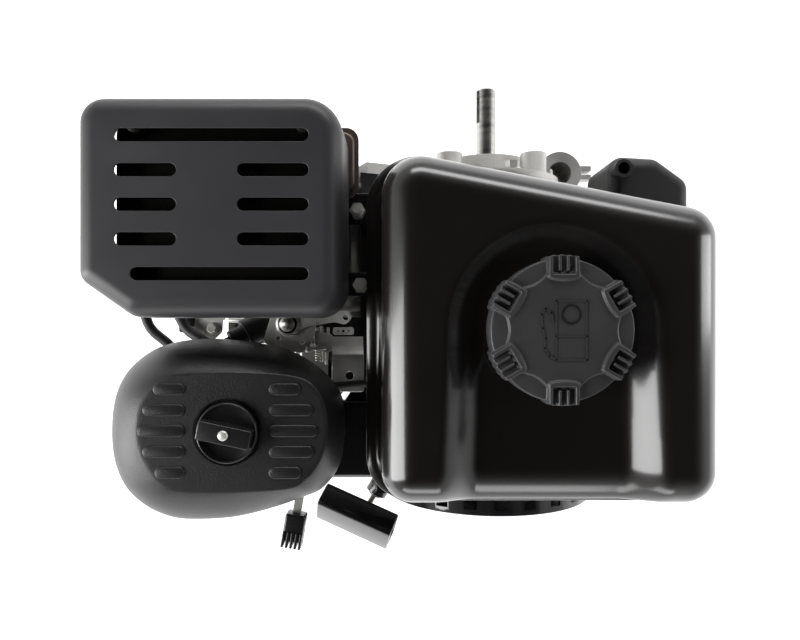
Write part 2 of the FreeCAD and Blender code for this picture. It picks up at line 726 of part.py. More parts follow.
def make_recoil_spring():
    """A flat clock spring, wound between the housing pin and its rim."""
    inner = []
    outer = []
    for step in range(145):
        turn = step * math.pi / 18
        radius = 9.5 + 3.4 * turn / (2 * math.pi)
        for edge, reach in ((inner, radius), (outer, radius + 0.6)):
            edge.append(Vector(reach * math.cos(turn), -185.5, reach * math.sin(turn)))
    rim = inner + outer[::-1]
    face = Part.Face(Part.makePolygon(rim + [rim[0]]))
    spring = feature(face.extrude(Vector(0, 7, 0)), "spiral")
    node(place(spring, "crank_x", 0, "crank_z"), "recoil_spring")


def make_starter_rope():
    end = ROPE_GATE + PULL * (GRIP_REACH - 3)
    points = [end, ROPE_GATE, Vector(-46, -168, 157), Vector(-28, -170.5, 147)]
    node(cord([tuple(point) for point in points], 8, 1.9, "rope"), "starter_rope")


def make_starter_grip():
    """A hollow square grip, leaned outward at its lower side."""
    grip = cut(box(-36, 28, -9, 9, -15, 15), box(-37, 29, -6.5, 6.5, -12.5, 12.5))
    turn = Rotation(Vector(0, 0, 1), PULL_ANGLE + 90).multiply(Rotation(Vector(1, 0, 0), -22))
    grip.Placement = Placement(ROPE_GATE + PULL * GRIP_REACH, turn)
    node(cut(grip, along_pull(2.6, 0, GRIP_REACH)), "starter_grip")


# ---------------------------------------------------------------- intake side

def make_carburetor():
    low_y, high_y = -104, -50
    solids = [disc(13, low_y, high_y - 0.1, x="carb_x", z="carb_z", along="y"),
              box("carb_x - 13", "carb_x + 22", -58, -50.1, "carb_z - 15", "carb_z + 13"),
              box("carb_x - 17", "carb_x + 17", low_y, -99, "carb_z - 15", "carb_z + 15"),
              disc(15, 152, "carb_z", "carb_x", -80), box("carb_x - 9", "carb_x + 9", -92, -66, 180, 190),
              disc(4, "carb_x", "carb_x + 20", 0, -72, "carb_z + 8", "x")]
    node(cut(fuse(*solids), disc(9, -110, -49, x="carb_x", z="carb_z", along="y")), "carburetor")


def make_float_bowl():
    solids = [disc(20, 128, 152, "carb_x", -80), hexagon(12, 122, 128, "carb_x", -80)]
    node(fuse(*solids), "float_bowl")


CHOKE_PIN = (-117.7, -131)
CHOKE_ANGLE = -9.3


def on_choke(item):
    """Swing an object about the choke pin, from pointing along -Y to its resting angle."""
    pin_x, pin_y = CHOKE_PIN
    turn = Rotation(Vector(0, 0, 1), CHOKE_ANGLE)
    item.Placement = Placement(Vector(pin_x, pin_y, 0), turn)
    return item


def make_choke_lever():
    strip = [disc(4.5, 203, 205), box(-2.8, 2.8, -56, 0, 203, 205)]
    node(on_choke(cut(fuse(*strip), disc(2.55, 202, 206))), "choke_lever")


def make_choke_knob():
    ribs = [box(-9.5, 9.5, y, y + 2, 196, 212) for y in range(-71, -53, 4)]
    grip = fuse(box(-8, 8, -73, -50, 197, 211), *ribs)
    node(on_choke(cut(grip, box(-2.8, 2.8, -56, -49, 203, 205))), "choke_knob")


THROTTLE_PIN = (-129.6, -52.4)


def make_control_bracket():
    x, y = THROTTLE_PIN
    plates = [box(-138, -104, -62, -44, 212, 213.5), box(-104, -80, -66, -44, 212, 213.5),
              box(-101, -80, -97, -60, 212, 213.5), disc(3, 213, 223, x, y),
              box(-81.5, -80, -97, -60, 212, 221)]
    holes = [disc(4.5, 205, 214, -90, -86), disc(2, 205, 214, -112, -56)]
    node(cut(fuse(*plates), *holes), "control_bracket")


def make_throttle_lever():
    x, y = THROTTLE_PIN
    lever = [disc(7, 214.5, 216.5, x, y), box(x, -93, -51, -46.5, 214.5, 216.5),
             disc(4.5, 214.5, 216.5, -91.3, -48.8)]
    holes = [disc(3.05, 214, 217, x, y), disc(1.8, 214, 217, -91.3, -48.8)]
    node(cut(fuse(*lever), *holes), "throttle_lever")


CLEANER_OUTLINE = [(-224, -66), (-96, -64), (-89, -82), (-96, -128), (-134, -152),
                   (-170, -168), (-200, -163), (-222, -125)]


def shrunk(points, amount):
    """The same outline drawn in toward its middle."""
    middle_x = sum(x for x, y in points) / len(points)
    middle_y = sum(y for x, y in points) / len(points)
    drawn = []
    for x, y in points:
        reach = math.hypot(x - middle_x, y - middle_y)
        drawn.append((round(x + (middle_x - x) * amount / reach, 2),
                      round(y + (middle_y - y) * amount / reach, 2)))
    return drawn


def make_air_cleaner_base():
    pin_x, pin_y = CHOKE_PIN
    solids = [slab(shrunk(CLEANER_OUTLINE, 5), 224, "cleaner_low - 0.4", corner=12),
              box("carb_x - 19", "carb_x + 17", -126, -104, 154, 224),
              disc(2.5, 198, 225, pin_x, pin_y), disc(4.5, 199, 202.8, pin_x, pin_y),
              disc(3, 225, 282, "knob_x", "knob_y")]
    bore = [disc(9, -116, -103, x="carb_x", z="carb_z", along="y"), disc(8, "carb_z", 232, "carb_x", -116)]
    node(cut(fuse(*solids), *bore), "air_cleaner_base")


def make_air_filter():
    block = slab(shrunk(CLEANER_OUTLINE, 22), "cleaner_low", "cleaner_high - 12", corner=8)
    hollow = slab(shrunk(CLEANER_OUTLINE, 36), "cleaner_low - 1", "cleaner_high - 11")
    node(cut(block, hollow), "air_filter")


def make_air_cleaner_cover():
    outer = slab(CLEANER_OUTLINE, "cleaner_low - 5", "cleaner_high", corner=14, top=9)
    inner = slab(shrunk(CLEANER_OUTLINE, 3), "cleaner_low - 6", "cleaner_high - 2.5", corner=12, top=7)
    node(cut(outer, inner, disc(3.3, 260, 290, "knob_x", "knob_y")), "air_cleaner_cover")


def make_air_cleaner_knob():
    knob = [disc(18, "cleaner_high + 0.2", "cleaner_high + 3", "knob_x", "knob_y"),
            box("knob_x - 16", "knob_x + 16", "knob_y - 5", "knob_y + 5", "cleaner_high + 2",
                "cleaner_high + 12")]
    node(cut(fuse(*knob), disc(3.05, 270, 290, "knob_x", "knob_y")), "air_cleaner_knob")


def plug_point(reach):
    """A point on the spark plug's axis, in the engine's frame."""
    lean = Rotation(Vector(0, 1, 0), -SIZES["lean"])
    turn = lean.multiply(Rotation(Vector(1, 0, 0), PLUG_TILT))
    seat = Vector(size("crank_x"), 0, size("crank_z")) + lean.multVec(Vector(*PLUG_TIP))
    return tuple(seat + turn.multVec(Vector(0, 0, reach)))


def make_ignition_lead():
    """From the plug's boot, in a loop out past the muffler, then under the air cleaner to the coil."""
    points = [plug_point(86.2), plug_point(97), (-198, -57, 212), (-212, -34, 207), (-230, -40, 206),
              (-225, -56, 206), (-211, -67, 206), (-198, -92, 206), (-150, -98, 206), (-28, -88, 206),
              (-28, -88, 190)]
    node(cord(points, 20, 3.3, "lead"), "ignition_lead")


# ---------------------------------------------------------------- exhaust side

def make_muffler():
    """The silencer box with its seam, a side chamber, and the pipe up from the exhaust port."""
    outline = [(-222, -20), (-194, -40), (-92, -40), (-92, 70), (-222, 70)]
    seam = [(-225, -21.5), (-194.9, -43), (-91, -43), (-91, 73), (-225, 73)]
    inner = [(-217, -17), (-192, -35), (-97, -35), (-97, 65), (-217, 65)]
    side = [(-120, 30.5), (-85, 30.5), (-85, 70), (-120, 70)]
    side_seam = [(-122, 28), (-82.5, 28), (-82.5, 73), (-122, 73)]
    solids = [slab(outline, 214, 272, corner=13, top=9), slab(seam, 227, 229, corner=14),
              slab(side, 214, 231.5, corner=7, top=2), slab(side_seam, 227, 229, corner=8),
              disc(8.8, 50.2, 60, x="carb_x", z="carb_z", along="y"),
              disc(9.5, "carb_z - 11", 216, "carb_x", 60),
              box("carb_x - 25", "carb_x + 25", 50.2, 56, "carb_z - 13", "carb_z + 13")]
    hollow = slab(inner, 218, 267, corner=8)
    bore = [disc(7, 49, 60, x="carb_x", z="carb_z", along="y"), disc(7.8, "carb_z - 8", 220, "carb_x", 60)]
    node(cut(fuse(*solids), hollow, *bore), "muffler")


def make_muffler_guard():
    outer_points = [("guard_left", "guard_front + 22"), ("guard_left + 31", "guard_front"),
                    ("guard_right", "guard_front"), ("guard_right", "guard_back"),
                    ("guard_left", "guard_back")]
    skin = 1.4
    inner_points = [(f"guard_left + {skin}", f"guard_front + 22 + {skin / 2}"),
                    (f"guard_left + 31 + {skin / 2}", f"guard_front + {skin}"),
                    (f"guard_right - {skin}", f"guard_front + {skin}"),
                    (f"guard_right - {skin}", f"guard_back - {skin}"),
                    (f"guard_left + {skin}", f"guard_back - {skin}")]
    outer = slab(outer_points, "guard_low", "guard_high", corner=16, top=9)
    inner = slab(inner_points, "guard_low - 1", minus("guard_high", skin), corner=14.5, top=8)
    slots = []
    for row, y in enumerate((53.5, 34, 14.7, -4.7, -24.1)):
        spans = [(-216, -107)] if row in (0, 4) else [(-216, -181), (-147, -107)]
        for low, high in spans:
            slots.append(box(low, high, y - 3.75, y + 3.75, 270, 290))
    posts = [disc(5, 272, "guard_high - 1", x, y) for x in (-205, -110) for y in (-13, 60)]
    node(fuse(cut(outer, inner, *slots), *posts), "muffler_guard")


def make_heat_shield():
    sheet_metal = [box(47, 48.2, -50, 50, 62, 130), box(42, 47.2, 48.8, 50, 62, 98)]
    node(leaned(fuse(*sheet_metal)), "heat_shield")


# ---------------------------------------------------------------- fuel side

def tank_outline(grow):
    return [(f"tank_left - {grow}", f"tank_front - {grow}"), (f"tank_right + {grow}", f"tank_front - {grow}"),
            (f"tank_right + {grow}", f"tank_back_right + {grow}"),
            (f"tank_left - {grow}", f"tank_back_left + {grow}")]


def make_fuel_tank():
    shell = [slab(tank_outline(0), "tank_low", "tank_seam", corner=28),
             slab(tank_outline(0), "tank_seam", "tank_high", corner=28, top=15),
             slab(tank_outline(9), "tank_seam - 1.5", "tank_seam + 1.5", corner=34)]
    valley = [("cap_x - 44", "cap_y"), ("cap_x - 54", "tank_front + 8"), ("cap_x + 54", "tank_front + 8"),
              ("cap_x + 44", "cap_y")]
    recess = [disc("cap_radius + 12", "tank_high - 14", "tank_high + 1", "cap_x", "cap_y"),
              slab(valley, "tank_high - 14", "tank_high + 1")]
    hollow = slab(tank_outline(-3), "tank_low + 2", "tank_high - 18", corner=25)
    neck = [disc(27, "tank_high - 15", "tank_high - 4", "cap_x", "cap_y")]
    mouth = disc(24, "tank_high - 20", "tank_high", "cap_x", "cap_y")
    node(cut(fuse(cut(fuse(*shell), *recess), *neck), hollow, mouth), "fuel_tank")


def make_fuel_cap():
    solids = [tube("cap_radius - 2", 27.5, "tank_high - 12", "tank_high - 3.8", "cap_x", "cap_y"),
              disc("cap_radius - 2", "tank_high - 3.8", "tank_high + 16", "cap_x", "cap_y"),
              disc(23.6, "tank_high - 12", "tank_high", "cap_x", "cap_y")]
    pockets = []
    for angle in around(6, 90):
        x = f"cap_x + {37 * math.cos(math.radians(angle)):.2f}"
        y = f"cap_y + {37 * math.sin(math.radians(angle)):.2f}"
        solids.append(disc(9, "tank_high - 10", "tank_high + 18", x, y))
        side_x = f"cap_x + {47 * math.cos(math.radians(angle + 30)):.2f}"
        side_y = f"cap_y + {47 * math.sin(math.radians(angle + 30)):.2f}"
        pockets.append(disc(16, "tank_high - 2", "tank_high + 20", side_x, side_y))
    trimmed = common(fuse(*solids), disc("cap_radius", "tank_high - 13", "tank_high + 18", "cap_x", "cap_y"))
    node(cut(trimmed, *pockets), "fuel_cap")


TANK_STUDS = [(-84, 22), (-82, -27)]


def make_tank_studs():
    studs = []
    for x, y in TANK_STUDS:
        studs += [disc(3, 206, 226, x, y), hexagon(9, 208.5, 220, x, y)]
    node(fuse(*studs), "tank_studs")


def make_tank_bracket():
    parts = [box(-66, 90, -34, 34, 212.5, "tank_low"), box(-5, 35, -32, -29, 168, 213),
             box(-5, 35, 29, 32, 168, 213), box(-91, -63, -34, 35, 206.5, 208.5),
             box(-66, -63, -34, 34, 206.5, 213)]
    holes = [box(-15, 45, -20, 20, 210, 220), box(-95, -70, -18, 14, 200, 216)]
    for x, y in TANK_STUDS:
        holes.append(disc(3.05, 200, 220, x, y))
    node(cut(fuse(*parts), *holes), "tank_bracket")


def make_vapor_canister():
    outline = [(86, 6), (140, 6), (140, 44), (118, 60), (86, 62)]
    solids = [slab(outline, 152, 206, corner=10, top=8), disc(6, 200, 213, 93, 51)]
    node(cut(fuse(*solids), disc(4, 202, 214, 93, 51)), "vapor_canister")


# ---------------------------------------------------------------- build and write

def make_everything():
    make_crankcase()
    make_crankcase_cover()
    make_cover_bolts()
    make_crankshaft()
    make_crank_pin()
    make_connecting_rod()
    make_rod_cap()
    make_piston()
    make_piston_rings()
    make_piston_pin()
    make_main_bearings()
    make_oil_seals()
    make_camshaft()
    make_valve_gear("intake", "-valve_y")
    make_valve_gear("exhaust", "valve_y")
    make_rocker_shaft()
    make_cylinder_head()
    make_head_gasket()
    make_head_bolts()
    make_valve_cover()
    make_spark_plug()
    make_spark_plug_boot()
    make_ignition_lead()
    make_flywheel()
    make_cooling_fan()
    make_starter_cup()
    make_flywheel_nut()
    make_ignition_coil()
    make_blower_housing()
    make_recoil_housing()
    make_recoil_pulley()
    make_recoil_spring()
    make_starter_rope()
    make_starter_grip()
    make_carburetor()
    make_float_bowl()
    make_choke_lever()
    make_choke_knob()
    make_control_bracket()
    make_throttle_lever()
    make_air_cleaner_base()
    make_air_filter()
    make_air_cleaner_cover()
    make_air_cleaner_knob()
    make_muffler()
    make_muffler_guard()
    make_heat_shield()
    make_fuel_tank()
    make_fuel_cap()
    make_tank_studs()
    make_tank_bracket()
    make_vapor_canister()


def check_and_write():
    """Stop on any object that failed, then write one file for each sub-part."""
    doc.recompute()
    for item in doc.Objects:
        if "Invalid" in item.State or "Error" in item.State:
            raise RuntimeError(f"{item.Label} ({item.Name}) did not rebuild")
    os.makedirs("parts", exist_ok=True)
    for item in nodes:
        if item.Shape.isNull() or not item.Shape.isValid():
            raise RuntimeError(f"{item.Label} has no sound shape")
        item.Shape.exportStep(f"parts/{item.Label}.step")
        print(f"{item.Label}: {len(item.Shape.Solids)} solids, {item.Shape.Volume / 1000:.1f} cm3")


make_everything()
check_and_write()
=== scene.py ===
import math

import bmesh
import bpy
import numpy as np
from mathutils import Matrix, Vector


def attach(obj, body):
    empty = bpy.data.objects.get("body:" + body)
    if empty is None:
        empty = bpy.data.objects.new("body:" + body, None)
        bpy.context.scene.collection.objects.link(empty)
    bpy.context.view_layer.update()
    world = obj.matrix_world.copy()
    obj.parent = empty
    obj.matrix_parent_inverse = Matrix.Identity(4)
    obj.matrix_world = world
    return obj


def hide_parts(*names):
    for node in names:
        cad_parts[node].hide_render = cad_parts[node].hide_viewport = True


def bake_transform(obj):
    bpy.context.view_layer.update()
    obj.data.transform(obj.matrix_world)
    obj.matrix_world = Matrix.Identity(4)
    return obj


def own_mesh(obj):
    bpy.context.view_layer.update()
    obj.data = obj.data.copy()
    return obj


# Small gasoline engine, in metres. The frame is the row's own: +Z up, +Y along the output shaft.

MM = 0.001
CAP_X = 27.6
CAP_Y = -55.3
KNOB_X = -154
KNOB_Y = -114
CHOKE_PIN_X = -117.7
CHOKE_PIN_Y = -131
CHOKE_TURN = math.radians(-9.3)
PULL_TURN = math.radians(239)

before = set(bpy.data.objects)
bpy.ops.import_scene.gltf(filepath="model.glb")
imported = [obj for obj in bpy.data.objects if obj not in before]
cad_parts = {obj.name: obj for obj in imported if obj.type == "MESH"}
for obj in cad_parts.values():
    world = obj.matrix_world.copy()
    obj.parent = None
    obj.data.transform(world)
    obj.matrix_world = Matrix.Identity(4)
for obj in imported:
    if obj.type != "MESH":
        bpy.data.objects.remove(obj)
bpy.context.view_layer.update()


# ---------------------------------------------------------------- materials

def procedural(name, colour, metal=0.0, rough=0.5, coat=0.0, coat_rough=0.06, rough_spread=0.08,
               tint=0.12, grain=400.0, bump=0.05, patch=25.0, stretch=(1, 1, 1), spec=0.5):
    """A shader whose colour, roughness and relief all come from noise in object space."""
    material = bpy.data.materials.new(name)
    material.use_nodes = True
    tree = material.node_tree
    nodes = tree.nodes
    shader = nodes["Principled BSDF"]
    shader.inputs["Metallic"].default_value = metal
    shader.inputs["Coat Weight"].default_value = coat
    shader.inputs["Coat Roughness"].default_value = coat_rough
    shader.inputs["Specular IOR Level"].default_value = spec
    place = nodes.new("ShaderNodeTexCoord")
    scaled = nodes.new("ShaderNodeMapping")
    scaled.inputs["Scale"].default_value = stretch
    tree.links.new(place.outputs["Object"], scaled.inputs["Vector"])
    broad = noise(tree, scaled, patch, 4)
    fine = noise(tree, scaled, grain, 3)
    colours = nodes.new("ShaderNodeValToRGB")
    colours.color_ramp.elements[0].position = 0.3
    colours.color_ramp.elements[1].position = 0.75
    colours.color_ramp.elements[0].color = (*[channel * (1 - tint) for channel in colour], 1)
    colours.color_ramp.elements[1].color = (*[min(1, channel * (1 + tint)) for channel in colour], 1)
    tree.links.new(broad.outputs["Fac"], colours.inputs["Fac"])
    tree.links.new(colours.outputs["Color"], shader.inputs["Base Color"])
    spread = nodes.new("ShaderNodeMapRange")
    spread.inputs["From Min"].default_value = 0.25
    spread.inputs["From Max"].default_value = 0.75
    spread.inputs["To Min"].default_value = max(0.02, rough - rough_spread)
    spread.inputs["To Max"].default_value = min(1.0, rough + rough_spread)
    tree.links.new(broad.outputs["Fac"], spread.inputs["Value"])
    tree.links.new(spread.outputs["Result"], shader.inputs["Roughness"])
    relief = nodes.new("ShaderNodeBump")
    relief.inputs["Strength"].default_value = bump
    relief.inputs["Distance"].default_value = 0.0006
    tree.links.new(fine.outputs["Fac"], relief.inputs["Height"])
    tree.links.new(relief.outputs["Normal"], shader.inputs["Normal"])
    return material


def noise(tree, source, scale, detail):
    texture = tree.nodes.new("ShaderNodeTexNoise")
    texture.inputs["Scale"].default_value = scale
    texture.inputs["Detail"].default_value = detail
    tree.links.new(source.outputs["Vector"], texture.inputs["Vector"])
    return texture


def tank_paint():
    return procedural("tank_paint", (0.0095, 0.0080, 0.0072), rough=0.24, coat=0.55, coat_rough=0.13,
                      rough_spread=0.04, grain=900, bump=0.012, patch=9, tint=0.2)


def housing_paint():
    return procedural("housing_paint", (0.010, 0.010, 0.011), rough=0.22, coat=0.5, grain=1200, bump=0.02)


def guard_paint():
    return procedural("guard_paint", (0.036, 0.035, 0.038), rough=0.44, rough_spread=0.05, grain=1500,
                      bump=0.06, patch=14, tint=0.08)


def textured_plastic():
    return procedural("textured_plastic", (0.013, 0.013, 0.0135), rough=0.40, rough_spread=0.06, grain=1300,
                      bump=0.35, patch=18)


def smooth_plastic():
    return procedural("smooth_plastic", (0.016, 0.016, 0.017), rough=0.3, grain=1500, bump=0.08)


def canister_plastic():
    return procedural("canister_plastic", (0.022, 0.022, 0.023), rough=0.55, grain=1700, bump=0.2)


def cap_plastic():
    return procedural("cap_plastic", (0.040, 0.040, 0.042), rough=0.44, rough_spread=0.05, grain=1600,
                      bump=0.12, patch=30)


def grip_plastic():
    return procedural("grip_plastic", (0.010, 0.009, 0.009), rough=0.13, coat=0.6, grain=700, bump=0.015)


def cast_aluminium():
    return procedural("cast_aluminium", (0.60, 0.59, 0.57), metal=0.85, rough=0.5, rough_spread=0.1,
                      grain=900, bump=0.4, patch=35, tint=0.14)


def forged_aluminium():
    return procedural("forged_aluminium", (0.68, 0.68, 0.67), metal=1, rough=0.36, grain=700, bump=0.15)


def ground_steel():
    return procedural("ground_steel", (0.50, 0.49, 0.47), metal=1, rough=0.3, grain=500, bump=0.12,
                      stretch=(1, 12, 1), tint=0.16)


def zinc_plate():
    return procedural("zinc_plate", (0.78, 0.77, 0.73), metal=0.55, rough=0.38, rough_spread=0.12, grain=350,
                      bump=0.06, patch=60, tint=0.16)


def muffler_steel():
    """Heat-stained steel, with painted shade darkening the top face under the guard."""
    material = procedural("muffler_steel", (0.15, 0.125, 0.11), metal=0.9, rough=0.48, rough_spread=0.12,
                          grain=600, bump=0.2, patch=22, tint=0.35)
    tree = material.node_tree
    shader = tree.nodes["Principled BSDF"]
    stain = shader.inputs["Base Color"].links[0].from_socket
    place = tree.nodes.new("ShaderNodeTexCoord")
    parts = tree.nodes.new("ShaderNodeSeparateXYZ")
    # painted shade: above this height the colour is mixed toward near-black, standing in for the shade under
    # the guard
    height = tree.nodes.new("ShaderNodeMapRange")
    height.inputs["From Min"].default_value = 0.232
    height.inputs["From Max"].default_value = 0.262
    painted_under_guard_shade = tree.nodes.new("ShaderNodeMix")
    painted_under_guard_shade.data_type = "RGBA"
    tree.links.new(place.outputs["Object"], parts.inputs["Vector"])
    tree.links.new(parts.outputs["Z"], height.inputs["Value"])
    tree.links.new(height.outputs["Result"], painted_under_guard_shade.inputs["Factor"])
    tree.links.new(stain, painted_under_guard_shade.inputs["A"])
    painted_under_guard_shade.inputs["B"].default_value = (0.012, 0.011, 0.010, 1)
    tree.links.new(painted_under_guard_shade.outputs["Result"], shader.inputs["Base Color"])
    return material


def cup_steel():
    return procedural("cup_steel", (0.33, 0.33, 0.34), metal=1, rough=0.38, grain=600, bump=0.1)


def moulded_rubber():
    return procedural("moulded_rubber", (0.014, 0.014, 0.014), rough=0.6, grain=1200, bump=0.2)


def gasket_fibre():
    return procedural("gasket_fibre", (0.12, 0.12, 0.125), rough=0.8, grain=1500, bump=0.4)


def filter_foam():
    return procedural("filter_foam", (0.42, 0.30, 0.10), rough=0.9, grain=900, bump=1.0, tint=0.3)


def braided_rope():
    return procedural("braided_rope", (0.55, 0.53, 0.48), rough=0.85, grain=1400, bump=0.8)


def plug_ceramic():
    return procedural("plug_ceramic", (0.85, 0.85, 0.82), rough=0.15, grain=300, bump=0.02, tint=0.04)


MATERIALS = {
    "cast_aluminium": (cast_aluminium, ["crankcase", "crankcase_cover", "cylinder_head", "flywheel",
                                        "carburetor"]),
    "machined_steel": (ground_steel, ["crankshaft", "crank_pin", "piston_pin", "piston_rings",
                                      "main_bearings", "camshaft", "intake_tappet", "exhaust_tappet",
                                      "intake_pushrod", "exhaust_pushrod", "intake_valve",
                                      "exhaust_valve", "intake_spring", "exhaust_spring",
                                      "recoil_spring"]),
    "zinc_steel": (zinc_plate, ["cover_bolts", "head_bolts", "rocker_shaft", "intake_rocker",
                                "exhaust_rocker", "flywheel_nut", "throttle_lever", "choke_lever",
                                "control_bracket", "tank_studs"]),
    "rod_aluminium": (forged_aluminium, ["connecting_rod", "rod_cap", "piston", "float_bowl"]),
    "seal_rubber": (moulded_rubber, ["oil_seals", "spark_plug_boot", "ignition_lead"]),
    "gasket_fibre": (gasket_fibre, ["head_gasket"]),
    "black_paint": (housing_paint, ["blower_housing", "recoil_housing", "valve_cover", "heat_shield",
                                    "tank_bracket"]),
    "tank_paint": (tank_paint, ["fuel_tank"]),
    "guard_paint": (guard_paint, ["muffler_guard"]),
    "muffler_steel": (muffler_steel, ["muffler"]),
    "cover_plastic": (textured_plastic, ["air_cleaner_cover", "air_cleaner_base"]),
    "black_plastic": (smooth_plastic, ["air_cleaner_knob", "cooling_fan", "recoil_pulley", "choke_knob",
                                       "ignition_coil"]),
    "canister_plastic": (canister_plastic, ["vapor_canister"]),
    "cap_plastic": (cap_plastic, ["fuel_cap"]),
    "grip_plastic": (grip_plastic, ["starter_grip"]),
    "filter_foam": (filter_foam, ["air_filter"]),
    "rope_fibre": (braided_rope, ["starter_rope"]),
    "plug_ceramic": (plug_ceramic, ["spark_plug"]),
    "cup_steel": (cup_steel, ["starter_cup"]),
}

looks = {}


def dress_the_frame():
    """Give every node of the frame its finish."""
    for name, (maker, members) in MATERIALS.items():
        looks[name] = maker()
        for member in members:
            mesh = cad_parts[member].data
            mesh.materials.clear()
            mesh.materials.append(looks[name])


# ---------------------------------------------------------------- mesh helpers

def soften(name, width, segments=2):
    """Round the sharp edges of one of the frame's nodes with modifiers, leaving its mesh as it is."""
    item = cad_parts[name]
    weld = item.modifiers.new("weld", "WELD")
    weld.merge_threshold = 0.00002
    bevel = item.modifiers.new("bevel", "BEVEL")
    bevel.width = width * MM
    bevel.segments = segments
    bevel.limit_method = "ANGLE"
    bevel.angle_limit = math.radians(40)
    bevel.use_clamp_overlap = True
    bevel.harden_normals = False


def finish_piece(item, look, body="engine", replaced=(), smooth=True):
    """Put a new mesh into the assembly: its finish, its body, and the nodes it stands for."""
    item.data.materials.append(looks[look])
    if smooth:
        for face in item.data.polygons:
            face.use_smooth = True
    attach(item, body)
    if replaced:
        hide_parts(*replaced)
    return item


def new_object(name, verts, faces):
    """A mesh object from vertices in millimetres."""
    mesh = bpy.data.meshes.new(name)
    mesh.from_pydata([tuple(c * MM for c in vert) for vert in verts], [], faces)
    mesh.update()
    item = bpy.data.objects.new(name, mesh)
    bpy.context.scene.collection.objects.link(item)
    return item


def ring_mesh(name, rings, close_top=True, close_bottom=False):
    """A surface through a stack of rings, each an array of points with the same count."""
    count = len(rings[0])
    verts = [tuple(point) for ring in rings for point in ring]
    faces = []
    for level in range(len(rings) - 1):
        for step in range(count):
            ahead = (step + 1) % count
            low, high = level * count, (level + 1) * count
            faces.append((low + step, low + ahead, high + ahead, high + step))
    if close_top:
        faces.append(tuple(range((len(rings) - 1) * count, len(rings) * count)))
    if close_bottom:
        faces.append(tuple(reversed(range(count))))
    return new_object(name, verts, faces)


def smooth_angle(item, degrees=35):
    """Smooth shading with sharp edges kept above an angle."""
    bm = bmesh.new()
    bm.from_mesh(item.data)
    for face in bm.faces:
        face.smooth = True
    for edge in bm.edges:
        if len(edge.link_faces) == 2 and edge.calc_face_angle(0) > math.radians(degrees):
            edge.smooth = False
    bm.to_mesh(item.data)
    bm.free()


def smoothstep(value, low, high):
    t = np.clip((value - low) / (high - low), 0, 1)
    return t * t * (3 - 2 * t)


def add_modifier(item, kind, **settings):
    modifier = item.modifiers.new(kind.lower(), kind)
    for key, value in settings.items():
        setattr(modifier, key, value)
    return modifier


def pill(x_low, x_high, y, half_width, z_low, z_high, rounding=0.8, arc=10):
    """The rings of an upright pill-shaped block with a rounded top edge."""
    outline = []
    for centre, start in ((x_high - half_width, -90), (x_low + half_width, 90)):
        for step in range(arc + 1):
            angle = math.radians(start + 180 * step / arc)
            outline.append((centre, y, math.cos(angle), math.sin(angle)))
    rings = []
    for inset, height in ((0, z_low), (0, z_high - rounding), (rounding * 0.3, z_high - rounding * 0.3),
                          (rounding, z_high)):
        reach = half_width - inset
        rings.append([(cx + reach * c, cy + reach * s, height) for cx, cy, c, s in outline])
    return rings


# ---------------------------------------------------------------- fuel tank

TANK_CORNERS = [(-68, -154, 19), (122, -154, 20), (122, 12, 20), (-68, 49, 24)]
TANK_SEAM = 237
TANK_TOP = 300


def rounded_distance(points, corners):
    """Signed distance to a convex outline with its own radius at each corner; negative inside."""
    points = np.asarray(points, float)
    count = len(corners)
    places = np.array([corner[:2] for corner in corners], float)
    distance = np.full(len(points), -1e9)
    for index in range(count):
        start, end = places[index], places[(index + 1) % count]
        along = (end - start) / np.linalg.norm(end - start)
        outward = np.array([along[1], -along[0]])
        distance = np.maximum(distance, (points - start) @ outward)
    for index, (_, _, radius) in enumerate(corners):
        before = places[index] - places[index - 1]
        after = places[(index + 1) % count] - places[index]
        before /= np.linalg.norm(before)
        after /= np.linalg.norm(after)
        normal_a = np.array([before[1], -before[0]])
        normal_b = np.array([after[1], -after[0]])
        half = (normal_a + normal_b) / (1 + normal_a @ normal_b)
        centre = places[index] - radius * half
        offset = points - centre
        in_wedge = (offset @ before > 0) & (offset @ after < 0)
        distance = np.where(in_wedge, np.linalg.norm(offset, axis=1) - radius, distance)
    return distance


def reach_at(directions, centre, inset, corners):
    """How far out from the centre each direction meets the outline drawn in by inset."""
    low = np.zeros(len(directions))
    high = np.full(len(directions), 400.0)
    for _ in range(40):
        middle = (low + high) / 2
        inside = rounded_distance(centre + directions * middle[:, None], corners) < -inset
        low = np.where(inside, middle, low)
        high = np.where(inside, high, middle)
    return low


def tank_hollow(x, y):
    """How far the top dips: a round well about the cap that runs out through the front edge."""
    ahead = np.clip((CAP_Y - y) / 95, 0, 1)
    side = np.abs(x - CAP_X)
    round_reach = np.hypot(x - CAP_X, y - CAP_Y)
    reach = np.where(y > CAP_Y, round_reach, side)
    inner = 37 + 3 * ahead
    outer = 61 + 3 * ahead
    depth = 13.5 + 1.5 * ahead
    return depth * (1 - smoothstep(reach, inner, outer))


